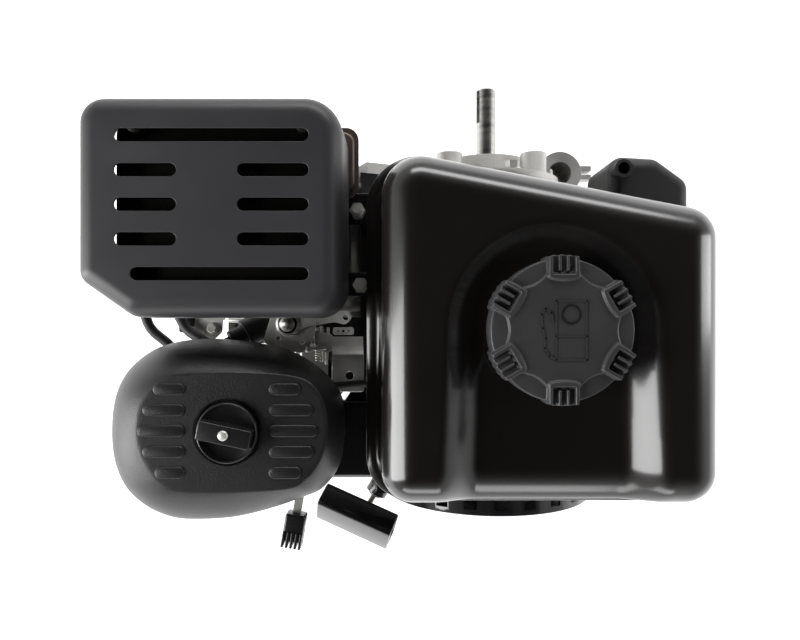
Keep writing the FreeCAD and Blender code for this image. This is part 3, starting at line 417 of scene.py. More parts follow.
def make_tank():
    """The pressed tank: seam flange, sides, big rounded shoulder and the well about the cap."""
    centre = np.array([CAP_X, CAP_Y])
    steps = np.linspace(0, 2 * math.pi, 420, endpoint=False)
    directions = np.stack([np.cos(steps), np.sin(steps)], axis=1)
    profile = [(-8.6, TANK_SEAM - 1.2), (-9, TANK_SEAM - 0.6), (-9, TANK_SEAM + 0.6), (-8.6, TANK_SEAM + 1.2),
               (-4, TANK_SEAM + 1.3), (-1.5, TANK_SEAM + 1.8), (-0.5, TANK_SEAM + 3), (0, TANK_SEAM + 5.5),
               (0.6, TANK_SEAM + 18), (1.4, TANK_SEAM + 34)]
    shoulder = 21.0
    for step in range(1, 19):
        angle = math.radians(90 * step / 18)
        profile.append((1.6 + shoulder * (1 - math.cos(angle)),
                        TANK_TOP - 1.2 - shoulder + shoulder * math.sin(angle)))
    rings = []
    for inset, height in profile:
        reach = reach_at(directions, centre, inset, TANK_CORNERS)
        rings.append(tank_ring(centre, directions, reach, height))
    last_reach = reach_at(directions, centre, profile[-1][0], TANK_CORNERS)
    for share in np.linspace(1, 0, 75)[1:-1]:
        crown = TANK_TOP - 1.2 + 1.2 * (1 - share ** 2)
        rings.append(tank_ring(centre, directions, last_reach * share, crown))
    underside = [(-8.6, TANK_SEAM - 1.3), (-3, TANK_SEAM - 1.4), (-0.5, TANK_SEAM - 2.5), (0, TANK_SEAM - 5),
                 (1, TANK_SEAM - 14), (4, TANK_SEAM - 19.5), (9, TANK_SEAM - 22)]
    low_rings = []
    for inset, height in underside:
        reach = reach_at(directions, centre, inset, TANK_CORNERS)
        low_rings.append(tank_ring(centre, directions, reach, height))
    tank = ring_mesh("tank_shell", low_rings[::-1] + rings, close_bottom=True)
    finish_piece(tank, "tank_paint", replaced=["fuel_tank"])
    return tank


def tank_ring(centre, directions, reach, height):
    """One ring of the tank, lowered where the well crosses it."""
    flat = centre + directions * reach[:, None]
    drop = tank_hollow(flat[:, 0], flat[:, 1]) * smoothstep(np.array(float(height)), 262, 299)
    heights = height - drop
    return np.column_stack([flat, heights])


# ---------------------------------------------------------------- fuel cap

def cap_height(radius, angle):
    """Height of the cap's top: six ribbed finger pockets and a scallop between each pair."""
    sixth = math.pi / 3
    nearest = np.round((angle - math.pi / 2) / sixth) * sixth + math.pi / 2
    turn = angle - nearest
    out = radius * np.cos(turn)
    across = radius * np.sin(turn)
    height = 15.2
    # scallop: the zone between grips falls away toward the rim
    between = sixth / 2 - np.abs(turn)
    lens = smoothstep(radius - (27.2 + 40 * between ** 2), 0.0, 0.9)
    height = height - lens * (1.4 + 0.16 * np.clip(radius - 27, 0, 12))
    # rounded rim of the body
    height = height - 7.0 * smoothstep(radius, 36.4, 38.2) ** 2
    # raised surround of each finger pocket
    half_width = 8.0
    rim_side = 1 - smoothstep(np.abs(across), half_width - 0.6, half_width + 0.5)
    rim_in = smoothstep(out, 25.0 + 0.02 * across ** 2, 26.2 + 0.02 * across ** 2)
    rim = rim_side * rim_in
    rim_height = height * (1 - rim) + rim * (16.9 - 0.05 * (out - 26))
    height = np.where(rim > 0, np.maximum(height, rim_height), height)
    pocket = (1 - smoothstep(np.abs(across), 5.0, 6.0)) * smoothstep(out, 28.4, 29.8)
    ribs = np.maximum(1 - smoothstep(np.abs(across - 2.1), 0.55, 1.15),
                      1 - smoothstep(np.abs(across + 2.1), 0.55, 1.15))
    pocket_depth = 3.6 * pocket * (1 - 0.9 * ribs * smoothstep(out, 29.8, 30.6))
    return height - pocket_depth


def cap_radius_at(angle):
    """The cap's outline: the grips stand out a little from the body."""
    sixth = math.pi / 3
    nearest = np.round((angle - math.pi / 2) / sixth) * sixth + math.pi / 2
    across = 38 * np.sin(angle - nearest)
    grip = 1 - smoothstep(np.abs(across), 7.4, 9.2)
    ribs = np.cos(across * 2 * math.pi / 4.2)
    return 37.4 + grip * (1.6 + 0.25 * ribs)


def make_cap():
    steps = np.linspace(0, 2 * math.pi, 540, endpoint=False)
    edge = cap_radius_at(steps)
    rings = []
    for height in (-3.6, -3.0, 0, 4, 8, 10):
        shrink = 0.5 if height < -3.2 else 0
        rings.append(np.column_stack([CAP_X + (edge - shrink) * np.cos(steps),
                                      CAP_Y + (edge - shrink) * np.sin(steps),
                                      np.full(len(steps), TANK_TOP + height)]))
    for share in np.linspace(0, 1, 110)[:-1]:
        radius = (edge - 0.5) * (1 - share)
        rings.append(np.column_stack([CAP_X + radius * np.cos(steps), CAP_Y + radius * np.sin(steps),
                                      TANK_TOP + np.maximum(cap_height(radius, steps), 10.0)]))
    cap = ring_mesh("cap_body", rings, close_bottom=True)
    finish_piece(cap, "cap_plastic", "cap", replaced=["fuel_cap"])
    make_pump_mark()


def strip(points, width, low, high):
    """A thin raised line along flat points, as separate blocks."""
    verts, faces = [], []
    for start, end in zip(points, points[1:]):
        start, end = Vector(start), Vector(end)
        ahead = (end - start).normalized()
        side = Vector((-ahead.y, ahead.x)) * width / 2
        start = start - ahead * width / 2
        end = end + ahead * width / 2
        base = len(verts)
        for height in (low, high):
            for corner in (start - side, end - side, end + side, start + side):
                verts.append((corner.x, corner.y, height))
        faces += [tuple(base + i for i in quad) for quad in
                  ((0, 3, 2, 1), (4, 5, 6, 7), (0, 1, 5, 4), (1, 2, 6, 5), (2, 3, 7, 6), (3, 0, 4, 7))]
    return verts, faces


def make_pump_mark():
    """A plain fuel pump in low relief: a body with a round gauge, a lower panel and a hose."""
    gauge = [(CAP_X + 3.5 + 4.6 * math.cos(a), CAP_Y + 8.2 + 4.6 * math.sin(a))
             for a in np.linspace(0, 2 * math.pi, 25)]
    lines = [
        [(CAP_X - 4, CAP_Y - 15), (CAP_X - 4, CAP_Y + 15), (CAP_X + 12.5, CAP_Y + 15)],
        [(CAP_X - 4, CAP_Y - 15), (CAP_X + 11.5, CAP_Y - 15), (CAP_X + 11.5, CAP_Y + 15)],
        [(CAP_X - 4, CAP_Y - 3), (CAP_X + 11.5, CAP_Y - 3)],
        gauge,
        [(CAP_X - 5.5, CAP_Y + 4), (CAP_X - 6.5, CAP_Y + 9), (CAP_X - 9.5, CAP_Y + 11),
         (CAP_X - 11.5, CAP_Y + 8), (CAP_X - 11, CAP_Y + 1), (CAP_X - 9.5, CAP_Y - 4),
         (CAP_X - 10, CAP_Y - 9), (CAP_X - 7.5, CAP_Y - 13), (CAP_X - 4.5, CAP_Y - 14.5)],
    ]
    verts, faces = [], []
    for points in lines:
        more, more_faces = strip(points, 0.8, TANK_TOP + 14.9, TANK_TOP + 15.6)
        faces += [tuple(len(verts) + i for i in face) for face in more_faces]
        verts += more
    mark = new_object("cap_pump_mark", verts, faces)
    finish_piece(mark, "cap_mark", "cap", smooth=False)


# ---------------------------------------------------------------- muffler guard

GUARD_CORNERS = [(-88.5, -48.8, 18), (-88.5, 77, 22), (-239, 77, 15), (-239, -27, 10), (-208, -48.8, 12)]


def make_guard():
    """A pressed cover with a big rounded shoulder and rows of pill-shaped slots."""
    corners = GUARD_CORNERS
    centre = np.array([-157.0, 14.0])
    steps = np.linspace(0, 2 * math.pi, 360, endpoint=False)
    directions = np.stack([np.cos(steps), np.sin(steps)], axis=1)
    shoulder = 11.0
    profile = [(0.0, 233), (0.0, 250), (0.3, 283 - shoulder - 2)]
    for step in range(0, 13):
        angle = math.radians(90 * step / 12)
        profile.append((0.4 + shoulder * (1 - math.cos(angle)), 283 - shoulder + shoulder * math.sin(angle)))
    rings = []
    for inset, height in profile:
        reach = reach_at(directions, centre, inset, corners)
        flat = centre + directions * reach[:, None]
        rings.append(np.column_stack([flat, np.full(len(flat), height)]))
    guard = ring_mesh("guard_shell", rings)
    add_modifier(guard, "SOLIDIFY", thickness=1.4 * MM, offset=-1)
    verts, faces = [], []
    for row, y in enumerate((53.5, 34, 14.7, -4.7, -24.1)):
        if row == 0:
            spans = [(-216, -107)]
        elif row == 4:
            spans = [(-207, -107)]
        else:
            spans = [(-216, -181), (-147.2, -107)]
        for low, high in spans:
            rings = pill(low, high, y, 3.8, 276, 290, rounding=0.1)
            base = len(verts)
            count = len(rings[0])
            verts += rings[0] + rings[-1]
            faces.append(tuple(base + i for i in reversed(range(count))))
            faces.append(tuple(base + count + i for i in range(count)))
            faces += [(base + i, base + (i + 1) % count, base + count + (i + 1) % count, base + count + i)
                      for i in range(count)]
    cutter = new_object("slot_cutter", verts, faces)
    bake_boolean(guard, cutter)
    smooth_angle(guard, 40)
    bevel = add_modifier(guard, "BEVEL", width=0.5 * MM, segments=2, limit_method="ANGLE",
                         angle_limit=math.radians(50))
    bevel.harden_normals = False
    finish_piece(guard, "guard_paint", replaced=["muffler_guard"], smooth=False)
    make_guard_posts()


def bake_boolean(item, cutter):
    """Cut one mesh by another and keep the result as plain mesh data."""
    add_modifier(item, "BOOLEAN", object=cutter, operation="DIFFERENCE", solver="EXACT")
    bpy.context.view_layer.update()
    graph = bpy.context.evaluated_depsgraph_get()
    mesh = bpy.data.meshes.new_from_object(item.evaluated_get(graph))
    item.modifiers.clear()
    item.data = mesh
    bpy.data.objects.remove(cutter)


def make_guard_posts():
    """Four short posts that carry the guard on the muffler."""
    for index, (x, y) in enumerate(((-205, -13), (-110, -13), (-110, 60), (-205, 60))):
        post = cylinder(f"guard_post_{index}", 5, 271.5, 281.8, x, y)
        finish_piece(post, "muffler_steel")


def cylinder(name, radius, low, high, x, y, count=32, edge=0.4):
    """An upright round post with softened ends."""
    steps = np.linspace(0, 2 * math.pi, count, endpoint=False)
    rings = []
    for shrink, height in ((edge, low), (0, low + edge), (0, high - edge), (edge, high)):
        rings.append([(x + (radius - shrink) * math.cos(a), y + (radius - shrink) * math.sin(a), height)
                      for a in steps])
    item = ring_mesh(name, rings, close_bottom=True)
    smooth_angle(item, 50)
    return item


# ---------------------------------------------------------------- air cleaner

COVER_FOOT = [(-235, -119), (-233, -98), (-226.5, -82.5), (-214, -70.5), (-201, -64.8), (-184, -62.2),
              (-165, -62.6), (-143, -65.5), (-123, -71.4), (-105.5, -83), (-95, -96), (-91.5, -113),
              (-94, -140), (-102.5, -153.5), (-113, -159), (-134.5, -167), (-158, -172.8), (-181.5, -174.4),
              (-197, -173), (-213, -165.8), (-226, -154), (-233, -138)]
COVER_TOP = [(-206.5, -112), (-204.5, -99), (-199, -90), (-190, -83.5), (-180, -81), (-154, -80.3),
             (-127, -81), (-116, -82.3), (-108.5, -84.8), (-102.5, -91), (-98.8, -99.5), (-97.4, -111),
             (-98.6, -122.5), (-103.2, -133), (-110.6, -141.5), (-121, -146.5), (-156, -148.3),
             (-184, -147.4), (-194, -142.5), (-200.8, -133), (-205.2, -122.5)]


def closed_curve(points, steps=12):
    """A smooth closed curve through every point."""
    count = len(points)
    curve = []
    for index in range(count):
        before, start, end, after = (np.array(points[(index + shift) % count], float)
                                     for shift in (-1, 0, 1, 2))
        for t in np.linspace(0, 1, steps, endpoint=False):
            curve.append(0.5 * (2 * start + (end - before) * t
                                + (2 * before - 5 * start + 4 * end - after) * t ** 2
                                + (3 * start - before - 3 * end + after) * t ** 3))
    return np.array(curve)


def reach_about(points, centre, angles):
    """Distance from the centre to a smooth closed curve through the points, at each angle."""
    offsets = closed_curve(points) - centre
    place = np.arctan2(offsets[:, 1], offsets[:, 0])
    length = np.hypot(offsets[:, 0], offsets[:, 1])
    order = np.argsort(place)
    return np.interp(angles, place[order], length[order], period=2 * math.pi)


def make_cover():
    """The moulded cover: an egg-shaped skirt that slopes in to a flat, ribbed top."""
    centre = np.array([KNOB_X, KNOB_Y], float)
    angles = np.linspace(-math.pi, math.pi, 360, endpoint=False)
    foot = reach_about(COVER_FOOT, centre, angles)
    top = reach_about(COVER_TOP, centre, angles)
    profile = [(0.0, 225), (0.0, 232), (0.02, 238), (0.06, 244), (0.14, 250.5), (0.26, 257), (0.42, 263),
               (0.60, 268), (0.78, 271.8), (0.90, 273.7), (0.97, 274.6), (1.0, 274.9)]
    rings = []
    for share, height in profile:
        rings.append(cover_ring(centre, angles, foot + (top - foot) * share, height))
    for share in np.linspace(0, 1, 22)[1:]:
        rings.append(cover_ring(centre, angles, top + (19.2 - top) * share, 275))
    for radius, height in ((18.8, 274.6), (18.5, 273.5), (18.5, 270.5), (17.5, 270)):
        rings.append(cover_ring(centre, angles, np.full(len(angles), radius), height))
    cover = ring_mesh("cleaner_cover", rings)
    finish_piece(cover, "cover_plastic", replaced=["air_cleaner_cover"])
    make_cover_ribs()


def cover_ring(centre, angles, reach, height):
    return np.column_stack([centre[0] + reach * np.cos(angles), centre[1] + reach * np.sin(angles),
                            np.full(len(angles), float(height))])


def make_cover_ribs():
    """Five pill-shaped ribs each side of the knob; the outer ends follow the cover's outline."""
    left_ends = (-197, -203, -206, -203, -196)
    right_ends = (-112.5, -105.5, -102.7, -105, -112)
    for row in range(5):
        y = -89.5 - 11.9 * row
        for side, (low, high) in (("left", (left_ends[row], -178.5)), ("right", (-131, right_ends[row]))):
            item = ring_mesh(f"cover_rib_{side}_{row}", pill(low, high, y, 3.6, 274.2, 275.9, rounding=0.9))
            finish_piece(item, "cover_plastic")


def make_knob():
    """The round wing knob, with a grip bar across it and the stud's bright end in its middle."""
    angles = np.linspace(0, 2 * math.pi, 180, endpoint=False)
    rings = []
    for radius, height in ((17.2, 275.4), (17.4, 278.6), (16.9, 279.4), (16.2, 279.6), (15.7, 279.2),
                           (15.5, 277.4), (15.0, 276.8), (9, 276.6), (3.2, 276.6)):
        rings.append([(KNOB_X + radius * math.cos(a), KNOB_Y + radius * math.sin(a), height) for a in angles])
    dish = ring_mesh("knob_dish", rings, close_bottom=True)
    finish_piece(dish, "black_plastic", "cleaner_knob", replaced=["air_cleaner_knob"])
    turn = math.radians(-12)
    bar = rounded_block("knob_bar", 15.2, 5.4, 4.8, 0.9)
    seat = Matrix.Translation(Vector((KNOB_X, KNOB_Y, 281.5)) * MM)
    bar.matrix_world = seat @ Matrix.Rotation(turn, 4, "Z")
    finish_piece(bar, "black_plastic", "cleaner_knob")
    stud = cylinder("knob_stud", 2.9, 276, 287.6, KNOB_X, KNOB_Y, edge=0.7)
    finish_piece(stud, "zinc_steel")


def rounded_block(name, half_x, half_y, half_z, rounding):
    """A box about the origin with rounded edges."""
    bm = bmesh.new()
    bmesh.ops.create_cube(bm, size=2)
    bmesh.ops.scale(bm, vec=Vector((half_x, half_y, half_z)) * MM, verts=bm.verts)
    bmesh.ops.bevel(bm, geom=list(bm.edges), offset=rounding * MM, segments=3, affect="EDGES", profile=0.5)
    mesh = bpy.data.meshes.new(name)
    bm.to_mesh(mesh)
    bm.free()
    item = bpy.data.objects.new(name, mesh)
    bpy.context.scene.collection.objects.link(item)
    return item


# ---------------------------------------------------------------- air cleaner base and filter

def make_cleaner_base():
    """The tray under the cover, the elbow down to the carburettor, and the choke's pin."""
    centre = np.array([KNOB_X, KNOB_Y], float)
    angles = np.linspace(-math.pi, math.pi, 240, endpoint=False)
    foot = reach_about(COVER_FOOT, centre, angles)
    rings = [cover_ring(centre, angles, foot - inset, height)
             for inset, height in ((6, 223.4), (5, 224), (4, 226), (4, 229.4), (5, 229.8))]
    tray = ring_mesh("cleaner_tray", rings, close_bottom=True)
    finish_piece(tray, "cover_plastic", replaced=["air_cleaner_base"])
    elbow = rounded_block("cleaner_elbow", 18, 11, 35, 5)
    elbow.matrix_world = Matrix.Translation(Vector((-116.6, -115, 189)) * MM)
    finish_piece(elbow, "black_plastic")
    pin = cylinder("choke_pin", 2.4, 198, 225, CHOKE_PIN_X, CHOKE_PIN_Y)
    finish_piece(pin, "zinc_steel")
    collar = cylinder("choke_collar", 4.5, 199, 202.8, CHOKE_PIN_X, CHOKE_PIN_Y)
    finish_piece(collar, "zinc_steel")


def make_filter():
    """A pleated foam ring standing on the tray."""
    centre = np.array([KNOB_X, KNOB_Y], float)
    angles = np.linspace(-math.pi, math.pi, 480, endpoint=False)
    foot = reach_about(COVER_FOOT, centre, angles) - 24
    pleat = 1.6 * np.cos(angles * 60)
    rings = [cover_ring(centre, angles, foot + pleat - inset, height)
             for inset, height in ((14, 229.9), (1, 229.9), (0, 231), (0, 253), (1.5, 255), (14, 255))]
    foam = ring_mesh("filter_ring", rings + rings[:1], close_top=False)
    finish_piece(foam, "filter_foam", replaced=["air_filter"])


# ---------------------------------------------------------------- starter grip

GRIP_TOP = Vector((-86.4, -187.2, 170))
GRIP_TURN = math.radians(-28.7)
GRIP_LEAN = math.radians(38)
GRIP_TILT = math.radians(11)


def make_grip():
    """A hollow square grip with thick rounded walls, leaned outward at its lower side."""
    level = Vector((math.cos(GRIP_TURN), math.sin(GRIP_TURN), 0))
    outward = Vector((level.y, -level.x, 0))
    upward = Vector((0, 0, math.cos(GRIP_LEAN))) - outward * math.sin(GRIP_LEAN)
    front = outward * math.cos(GRIP_LEAN) + Vector((0, 0, math.sin(GRIP_LEAN)))
    along = level * math.cos(GRIP_TILT) + upward * math.sin(GRIP_TILT)
    upward = upward * math.cos(GRIP_TILT) - level * math.sin(GRIP_TILT)
    rings = []
    for position, wall, inward in ((-29, 0.6, 0), (-28.4, 0, 0), (28.4, 0, 0), (29, 0.6, 0), (29, 2.4, 1),
                                   (28.4, 2.8, 1), (-28.4, 2.8, 1), (-29, 2.4, 1)):
        rings.append(grip_ring(along * position, front, upward, wall, inward))
    grip = ring_mesh("grip_body", rings + rings[:1], close_top=False)
    smooth_angle(grip, 40)
    finish_piece(grip, "grip_plastic", "grip", replaced=["starter_grip"], smooth=False)
    knot = rounded_block("rope_knot", 3.4, 3.4, 3.4, 1.4)
    knot.matrix_world = Matrix.Translation((GRIP_TOP - upward * 15) * MM)
    finish_piece(knot, "rope_fibre", "grip")


ROPE_GATE = Vector((-66, -166, 155))
ROPE_PULL = Vector((math.cos(PULL_TURN), math.sin(PULL_TURN), 0))
ROPE_REACH = 28
ROPE_RADIUS = 1.9
ROPE_BEND = 6


def make_rope():
    """The starter rope over the housing's edge, running out toward the grip."""
    pulley_side, bend = Vector((-28, -170.5, 147)), Vector((-46, -168, 157))
    outer = ROPE_GATE + ROPE_PULL * ROPE_REACH
    path = [pulley_side]
    for before, corner, after in ((pulley_side, bend, ROPE_GATE), (bend, ROPE_GATE, outer)):
        enter = corner + (before - corner).normalized() * ROPE_BEND
        leave = corner + (after - corner).normalized() * ROPE_BEND
        for t in np.linspace(0, 1, 7):
            path.append(enter * (1 - t) ** 2 + corner * 2 * t * (1 - t) + leave * t ** 2)
    for share in np.linspace(0, 1, 25)[1:]:
        path.append((ROPE_GATE + ROPE_PULL * ROPE_BEND).lerp(outer, share))
    rings = []
    for index, point in enumerate(path):
        ahead = (path[min(index + 1, len(path) - 1)] - path[max(index - 1, 0)]).normalized()
        side = ahead.cross(Vector((0, 0, 1))).normalized()
        rise = side.cross(ahead)
        rings.append([point + side * ROPE_RADIUS * math.cos(a) + rise * ROPE_RADIUS * math.sin(a)
                      for a in np.linspace(0, 2 * math.pi, 14, endpoint=False)])
    rope = ring_mesh("rope_line", rings, close_bottom=True)
    rope.data.materials.append(looks["rope_fibre"])
    smooth_angle(rope, 60)
    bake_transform(rope)
    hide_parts("starter_rope")


def grip_ring(offset, front, upward, wall, inward):
    """A rounded rectangle across the grip, drawn in by the wall's thickness."""
    half_front, half_up, corner = 9 - wall, 15 - wall, 3.2 - 0.6 * inward
    points = []
    for quarter in range(4):
        sign_f = 1 if quarter in (0, 3) else -1
        sign_u = 1 if quarter in (0, 1) else -1
        for step in range(7):
            angle = math.radians(90 * quarter + 15 * step)
            across = sign_f * (half_front - corner) + corner * math.cos(angle)
            rise = sign_u * (half_up - corner) + corner * math.sin(angle)
            points.append(GRIP_TOP - upward * 15 + offset + front * across + upward * rise)
    return points


# ---------------------------------------------------------------- valve springs


def make_valve_springs():
    """The two valve springs, copied from the frame's springs."""
    for kind in ("intake", "exhaust"):
        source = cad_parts[kind + "_spring"]
        coil = bpy.data.objects.new(kind + "_coil", source.data.copy())
        bpy.context.scene.collection.objects.link(coil)
        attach(coil, "engine")
        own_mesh(coil)
        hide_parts(kind + "_spring")


# ---------------------------------------------------------------- choke knob

def make_choke_knob():
    """A rounded thumb piece with lengthwise ribs over its outer end."""
    pin = Matrix.Translation(Vector((CHOKE_PIN_X, CHOKE_PIN_Y, 0)) * MM)
    seat = pin @ Matrix.Rotation(CHOKE_TURN, 4, "Z")
    body = rounded_block("choke_knob_body", 6.8, 9.4, 6.4, 1.6)
    body.matrix_world = seat @ Matrix.Translation(Vector((0, -59.6, 204)) * MM)
    finish_piece(body, "black_plastic", "choke", replaced=["choke_knob"])
    for index in range(5):
        rib = rounded_block(f"choke_rib_{index}", 0.9, 5.4, 7.4, 0.6)
        rib.matrix_world = seat @ Matrix.Translation(Vector((2.9 * (index - 2), -67.3, 204)) * MM)
        finish_piece(rib, "black_plastic", "choke")


# ---------------------------------------------------------------- levers, plates and small fixings

def rounded_outline(corners, radius, steps=5):
    """An outline with each corner replaced by a short arc."""
    outline = []
    count = len(corners)
    for index in range(count):
        corner = Vector(corners[index])
        back = (Vector(corners[index - 1]) - corner)
        ahead = (Vector(corners[(index + 1) % count]) - corner)
        reach = min(radius, 0.45 * back.length, 0.45 * ahead.length)
        start, end = corner + back.normalized() * reach, corner + ahead.normalized() * reach
        for step in range(steps + 1):
            t = step / steps
            outline.append(start * (1 - t) ** 2 + corner * 2 * t * (1 - t) + end * t ** 2)
    return outline


def circle_outline(x, y, radius, count=28):
    return [Vector((x + radius * math.cos(a), y + radius * math.sin(a)))
            for a in np.linspace(0, 2 * math.pi, count, endpoint=False)]


def flat_plate(name, outline, low, high, look="zinc_steel", holes=(), body="engine", replaced=(), edge=0.25):
    """A sheet-metal plate with softened edges and holes, lying level."""
    curve = bpy.data.curves.new(name, "CURVE")
    curve.dimensions = "2D"
    curve.fill_mode = "BOTH"
    curve.extrude = ((high - low) / 2 - edge) * MM
    curve.bevel_depth = edge * MM
    curve.bevel_resolution = 1
    for points in (outline, *holes):
        spline = curve.splines.new("POLY")
        spline.points.add(len(points) - 1)
        for point, place in zip(spline.points, points):
            point.co = (place[0] * MM, place[1] * MM, 0, 1)
        spline.use_cyclic_u = True
    draft = bpy.data.objects.new(name + "_draft", curve)
    bpy.context.scene.collection.objects.link(draft)
    bpy.context.view_layer.update()
    mesh = bpy.data.meshes.new_from_object(draft.evaluated_get(bpy.context.evaluated_depsgraph_get()))
    bpy.data.objects.remove(draft)
    mesh.transform(Matrix.Translation((0, 0, (low + high) / 2 * MM)))
    mesh.materials.clear()
    item = bpy.data.objects.new(name, mesh)
    bpy.context.scene.collection.objects.link(item)
    return finish_piece(item, look, body, replaced=replaced, smooth=False)


def rod_between(name, start, end, radius, look="zinc_steel", body="engine", count=20):
    """A round rod between two points, with softened ends."""
    start, end = Vector(start), Vector(end)
    length = (end - start).length
    turn = (end - start).to_track_quat("Z", "Y").to_matrix()
    rings = []
    for shrink, height in ((0.3, 0), (0, 0.3), (0, length - 0.3), (0.3, length)):
        rings.append([start + turn @ Vector(((radius - shrink) * math.cos(a), (radius - shrink) * math.sin(a),
                                             height)) for a in np.linspace(0, 2 * math.pi, count,
                                                                           endpoint=False)])
    item = ring_mesh(name, rings, close_bottom=True)
    smooth_angle(item, 50)
    return finish_piece(item, look, body, smooth=False)


def hex_bolt(name, x, y, low, size, look="zinc_steel"):
    """A washer with a chamfered hexagon head on it."""
    washer = cylinder(name + "_washer", size * 1.25, low, low + 1.0, x, y)
    finish_piece(washer, look)
    rings = []
    for shrink, height in ((0, low + 1.0), (0, low + size * 0.8), (0.5, low + size)):
        rings.append([(x + (size - shrink) * math.cos(a), y + (size - shrink) * math.sin(a), height)
                      for a in np.linspace(0.3, 0.3 + 2 * math.pi, 6, endpoint=False)])
    head = ring_mesh(name + "_head", rings, close_bottom=True)
    finish_piece(head, look, smooth=False)


def make_controls():
    """The control plate with its pivot, the stepped bracket beside the tank and the linkage."""
    pivot_x, pivot_y = -130.0, -52.6
    plate = rounded_outline([(-147, -65), (-141, -46), (-112, -46), (-112.5, -58), (-115, -66), (-121, -72),
                             (-132, -70)], 3)
    flat_plate("control_plate", plate, 212, 213.5, replaced=["control_bracket"],
               holes=[circle_outline(-137, -62, 1.8), circle_outline(-121, -65, 1.6)])
    for index, (radius, low, high, look) in enumerate(((3.0, 213.5, 216.9, "zinc_steel"),
                                                       (7.8, 216.9, 217.7, "zinc_steel"),
                                                       (6.4, 217.7, 218.5, "black_plastic"),
                                                       (5.0, 218.5, 219.5, "zinc_steel"),
                                                       (3.4, 219.5, 221.4, "machined_steel"),
                                                       (1.7, 221.4, 222.8, "zinc_steel"))):
        finish_piece(cylinder(f"pivot_stack_{index}", radius, low, high, pivot_x, pivot_y), look)
    lever = rounded_outline([(-138, -54), (-133, -45.5), (-120, -45.5), (-99, -44.5), (-91, -44),
                             (-87.6, -48.5), (-92, -53), (-99, -51), (-119, -54.5), (-128, -60.5)], 3)
    flat_plate("throttle_arm", lever, 214.5, 216.5, holes=[circle_outline(-91.8, -48.4, 2.0),
               circle_outline(-129.6, -52.4, 3.05)], body="throttle", replaced=["throttle_lever"])
    step = rounded_outline([(-101.5, -98), (-80.5, -98), (-80.5, -73), (-101.5, -73)], 2)
    flat_plate("side_bracket_low", step, 207, 208.5, holes=[circle_outline(-89.8, -87.4, 3.0)])
    ramp = [[(-101.5, -73.5, 207), (-80.5, -73.5, 207), (-80.5, -73.5, 208.5), (-101.5, -73.5, 208.5)],
            [(-101.5, -71, 207.5), (-80.5, -71, 207.5), (-80.5, -72, 209), (-101.5, -72, 209)],
            [(-101.5, -66, 211.6), (-80.5, -66, 211.6), (-80.5, -66.6, 213.1), (-101.5, -66.6, 213.1)],
            [(-101.5, -61, 212), (-80.5, -61, 212), (-80.5, -61, 213.5), (-101.5, -61, 213.5)]]
    bend = ring_mesh("side_bracket_step", ramp, close_bottom=True)
    smooth_angle(bend, 40)
    finish_piece(bend, "zinc_steel", smooth=False)
    tie = rounded_outline([(-113, -57), (-101, -60), (-101, -70), (-106, -72), (-113, -66)], 2)
    flat_plate("control_tie", tie, 210.4, 211.6)
    ears = rounded_outline([(-100.2, -59.6), (-86.8, -59.6), (-86.8, -55), (-100.2, -55)], 1.6)
    flat_plate("hole_strip", ears, 212.6, 213.6,
               holes=[circle_outline(-97, -57.3, 0.9), circle_outline(-93.5, -57.3, 1.2),
                      circle_outline(-90, -57.3, 0.9)])
    finish_piece(cylinder("hole_strip_post", 1.4, 209, 212.6, -99, -57.3), "zinc_steel")
    rod_between("linkage_screw", (-117, -68.8, 211), (-105, -68.8, 211), 1.4)
    rod_between("linkage_nut", (-118.5, -68.8, 211), (-115.5, -68.8, 211), 2.8)
    rod_between("governor_rod", (-108.5, -54, 211), (-107, -78, 209), 1.1)
    rod_between("throttle_rod", (-104, -55, 209), (-105.5, -80, 207), 1.1)
    make_link_spring()


def make_link_spring():
    """A thin coil spring along the governor rod."""
    start, end = Vector((-111.5, -55, 209.5)), Vector((-110.5, -78, 208))
    curve = bpy.data.curves.new("link_spring", "CURVE")
    curve.dimensions = "3D"
    curve.bevel_depth = 0.45 * MM
    spline = curve.splines.new("POLY")
    turns, steps = 14, 12
    spline.points.add(turns * steps)
    for index, point in enumerate(spline.points):
        share = index / (turns * steps)
        angle = 2 * math.pi * index / steps
        middle = start.lerp(end, share)
        point.co = ((middle.x + 1.9 * math.cos(angle)) * MM, middle.y * MM,
                    (middle.z + 1.9 * math.sin(angle)) * MM, 1)
    item = bpy.data.objects.new("link_spring", curve)
    bpy.context.scene.collection.objects.link(item)
    curve.materials.append(looks["zinc_steel"])
    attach(item, "engine")


def make_front_fixings():
    """The small brackets and screws seen between the guard and the air cleaner."""
    tab = rounded_outline([(-195, -61.5), (-193, -44), (-175.5, -44), (-176, -58), (-181, -63)], 2)
    flat_plate("shield_tab", tab, 205.5, 207)
    raised = rounded_outline([(-187.5, -50), (-187, -43), (-173, -43), (-173.5, -50)], 1.5)
    flat_plate("shield_tab_step", raised, 208, 209.5)
    finish_piece(cylinder("shield_tab_post", 2.0, 206.8, 208.2, -180, -46.5), "zinc_steel")
    hex_bolt("shield_screw", -182, -55.5, 207, 3.2)
    angle = rounded_outline([(-201, -58.5), (-188, -62), (-187, -57.5), (-200, -53.5)], 1)
    flat_plate("lead_clip", angle, 206, 207.2)
    block = rounded_block("lead_grommet", 6, 6.5, 5, 1.6)
    block.matrix_world = Matrix.Translation(Vector((-200, -52, 200)) * MM)
    finish_piece(block, "seal_rubber")
    finish_piece(cylinder("breather_cap", 7.0, 196, 206, -148.5, -55, edge=1.2), "black_plastic")
    hex_bolt("breather_screw", -148.5, -55, 206, 3.2)
    rod_between("choke_rod", (-172, -50, 205), (-150, -50.5, 205), 1.6)


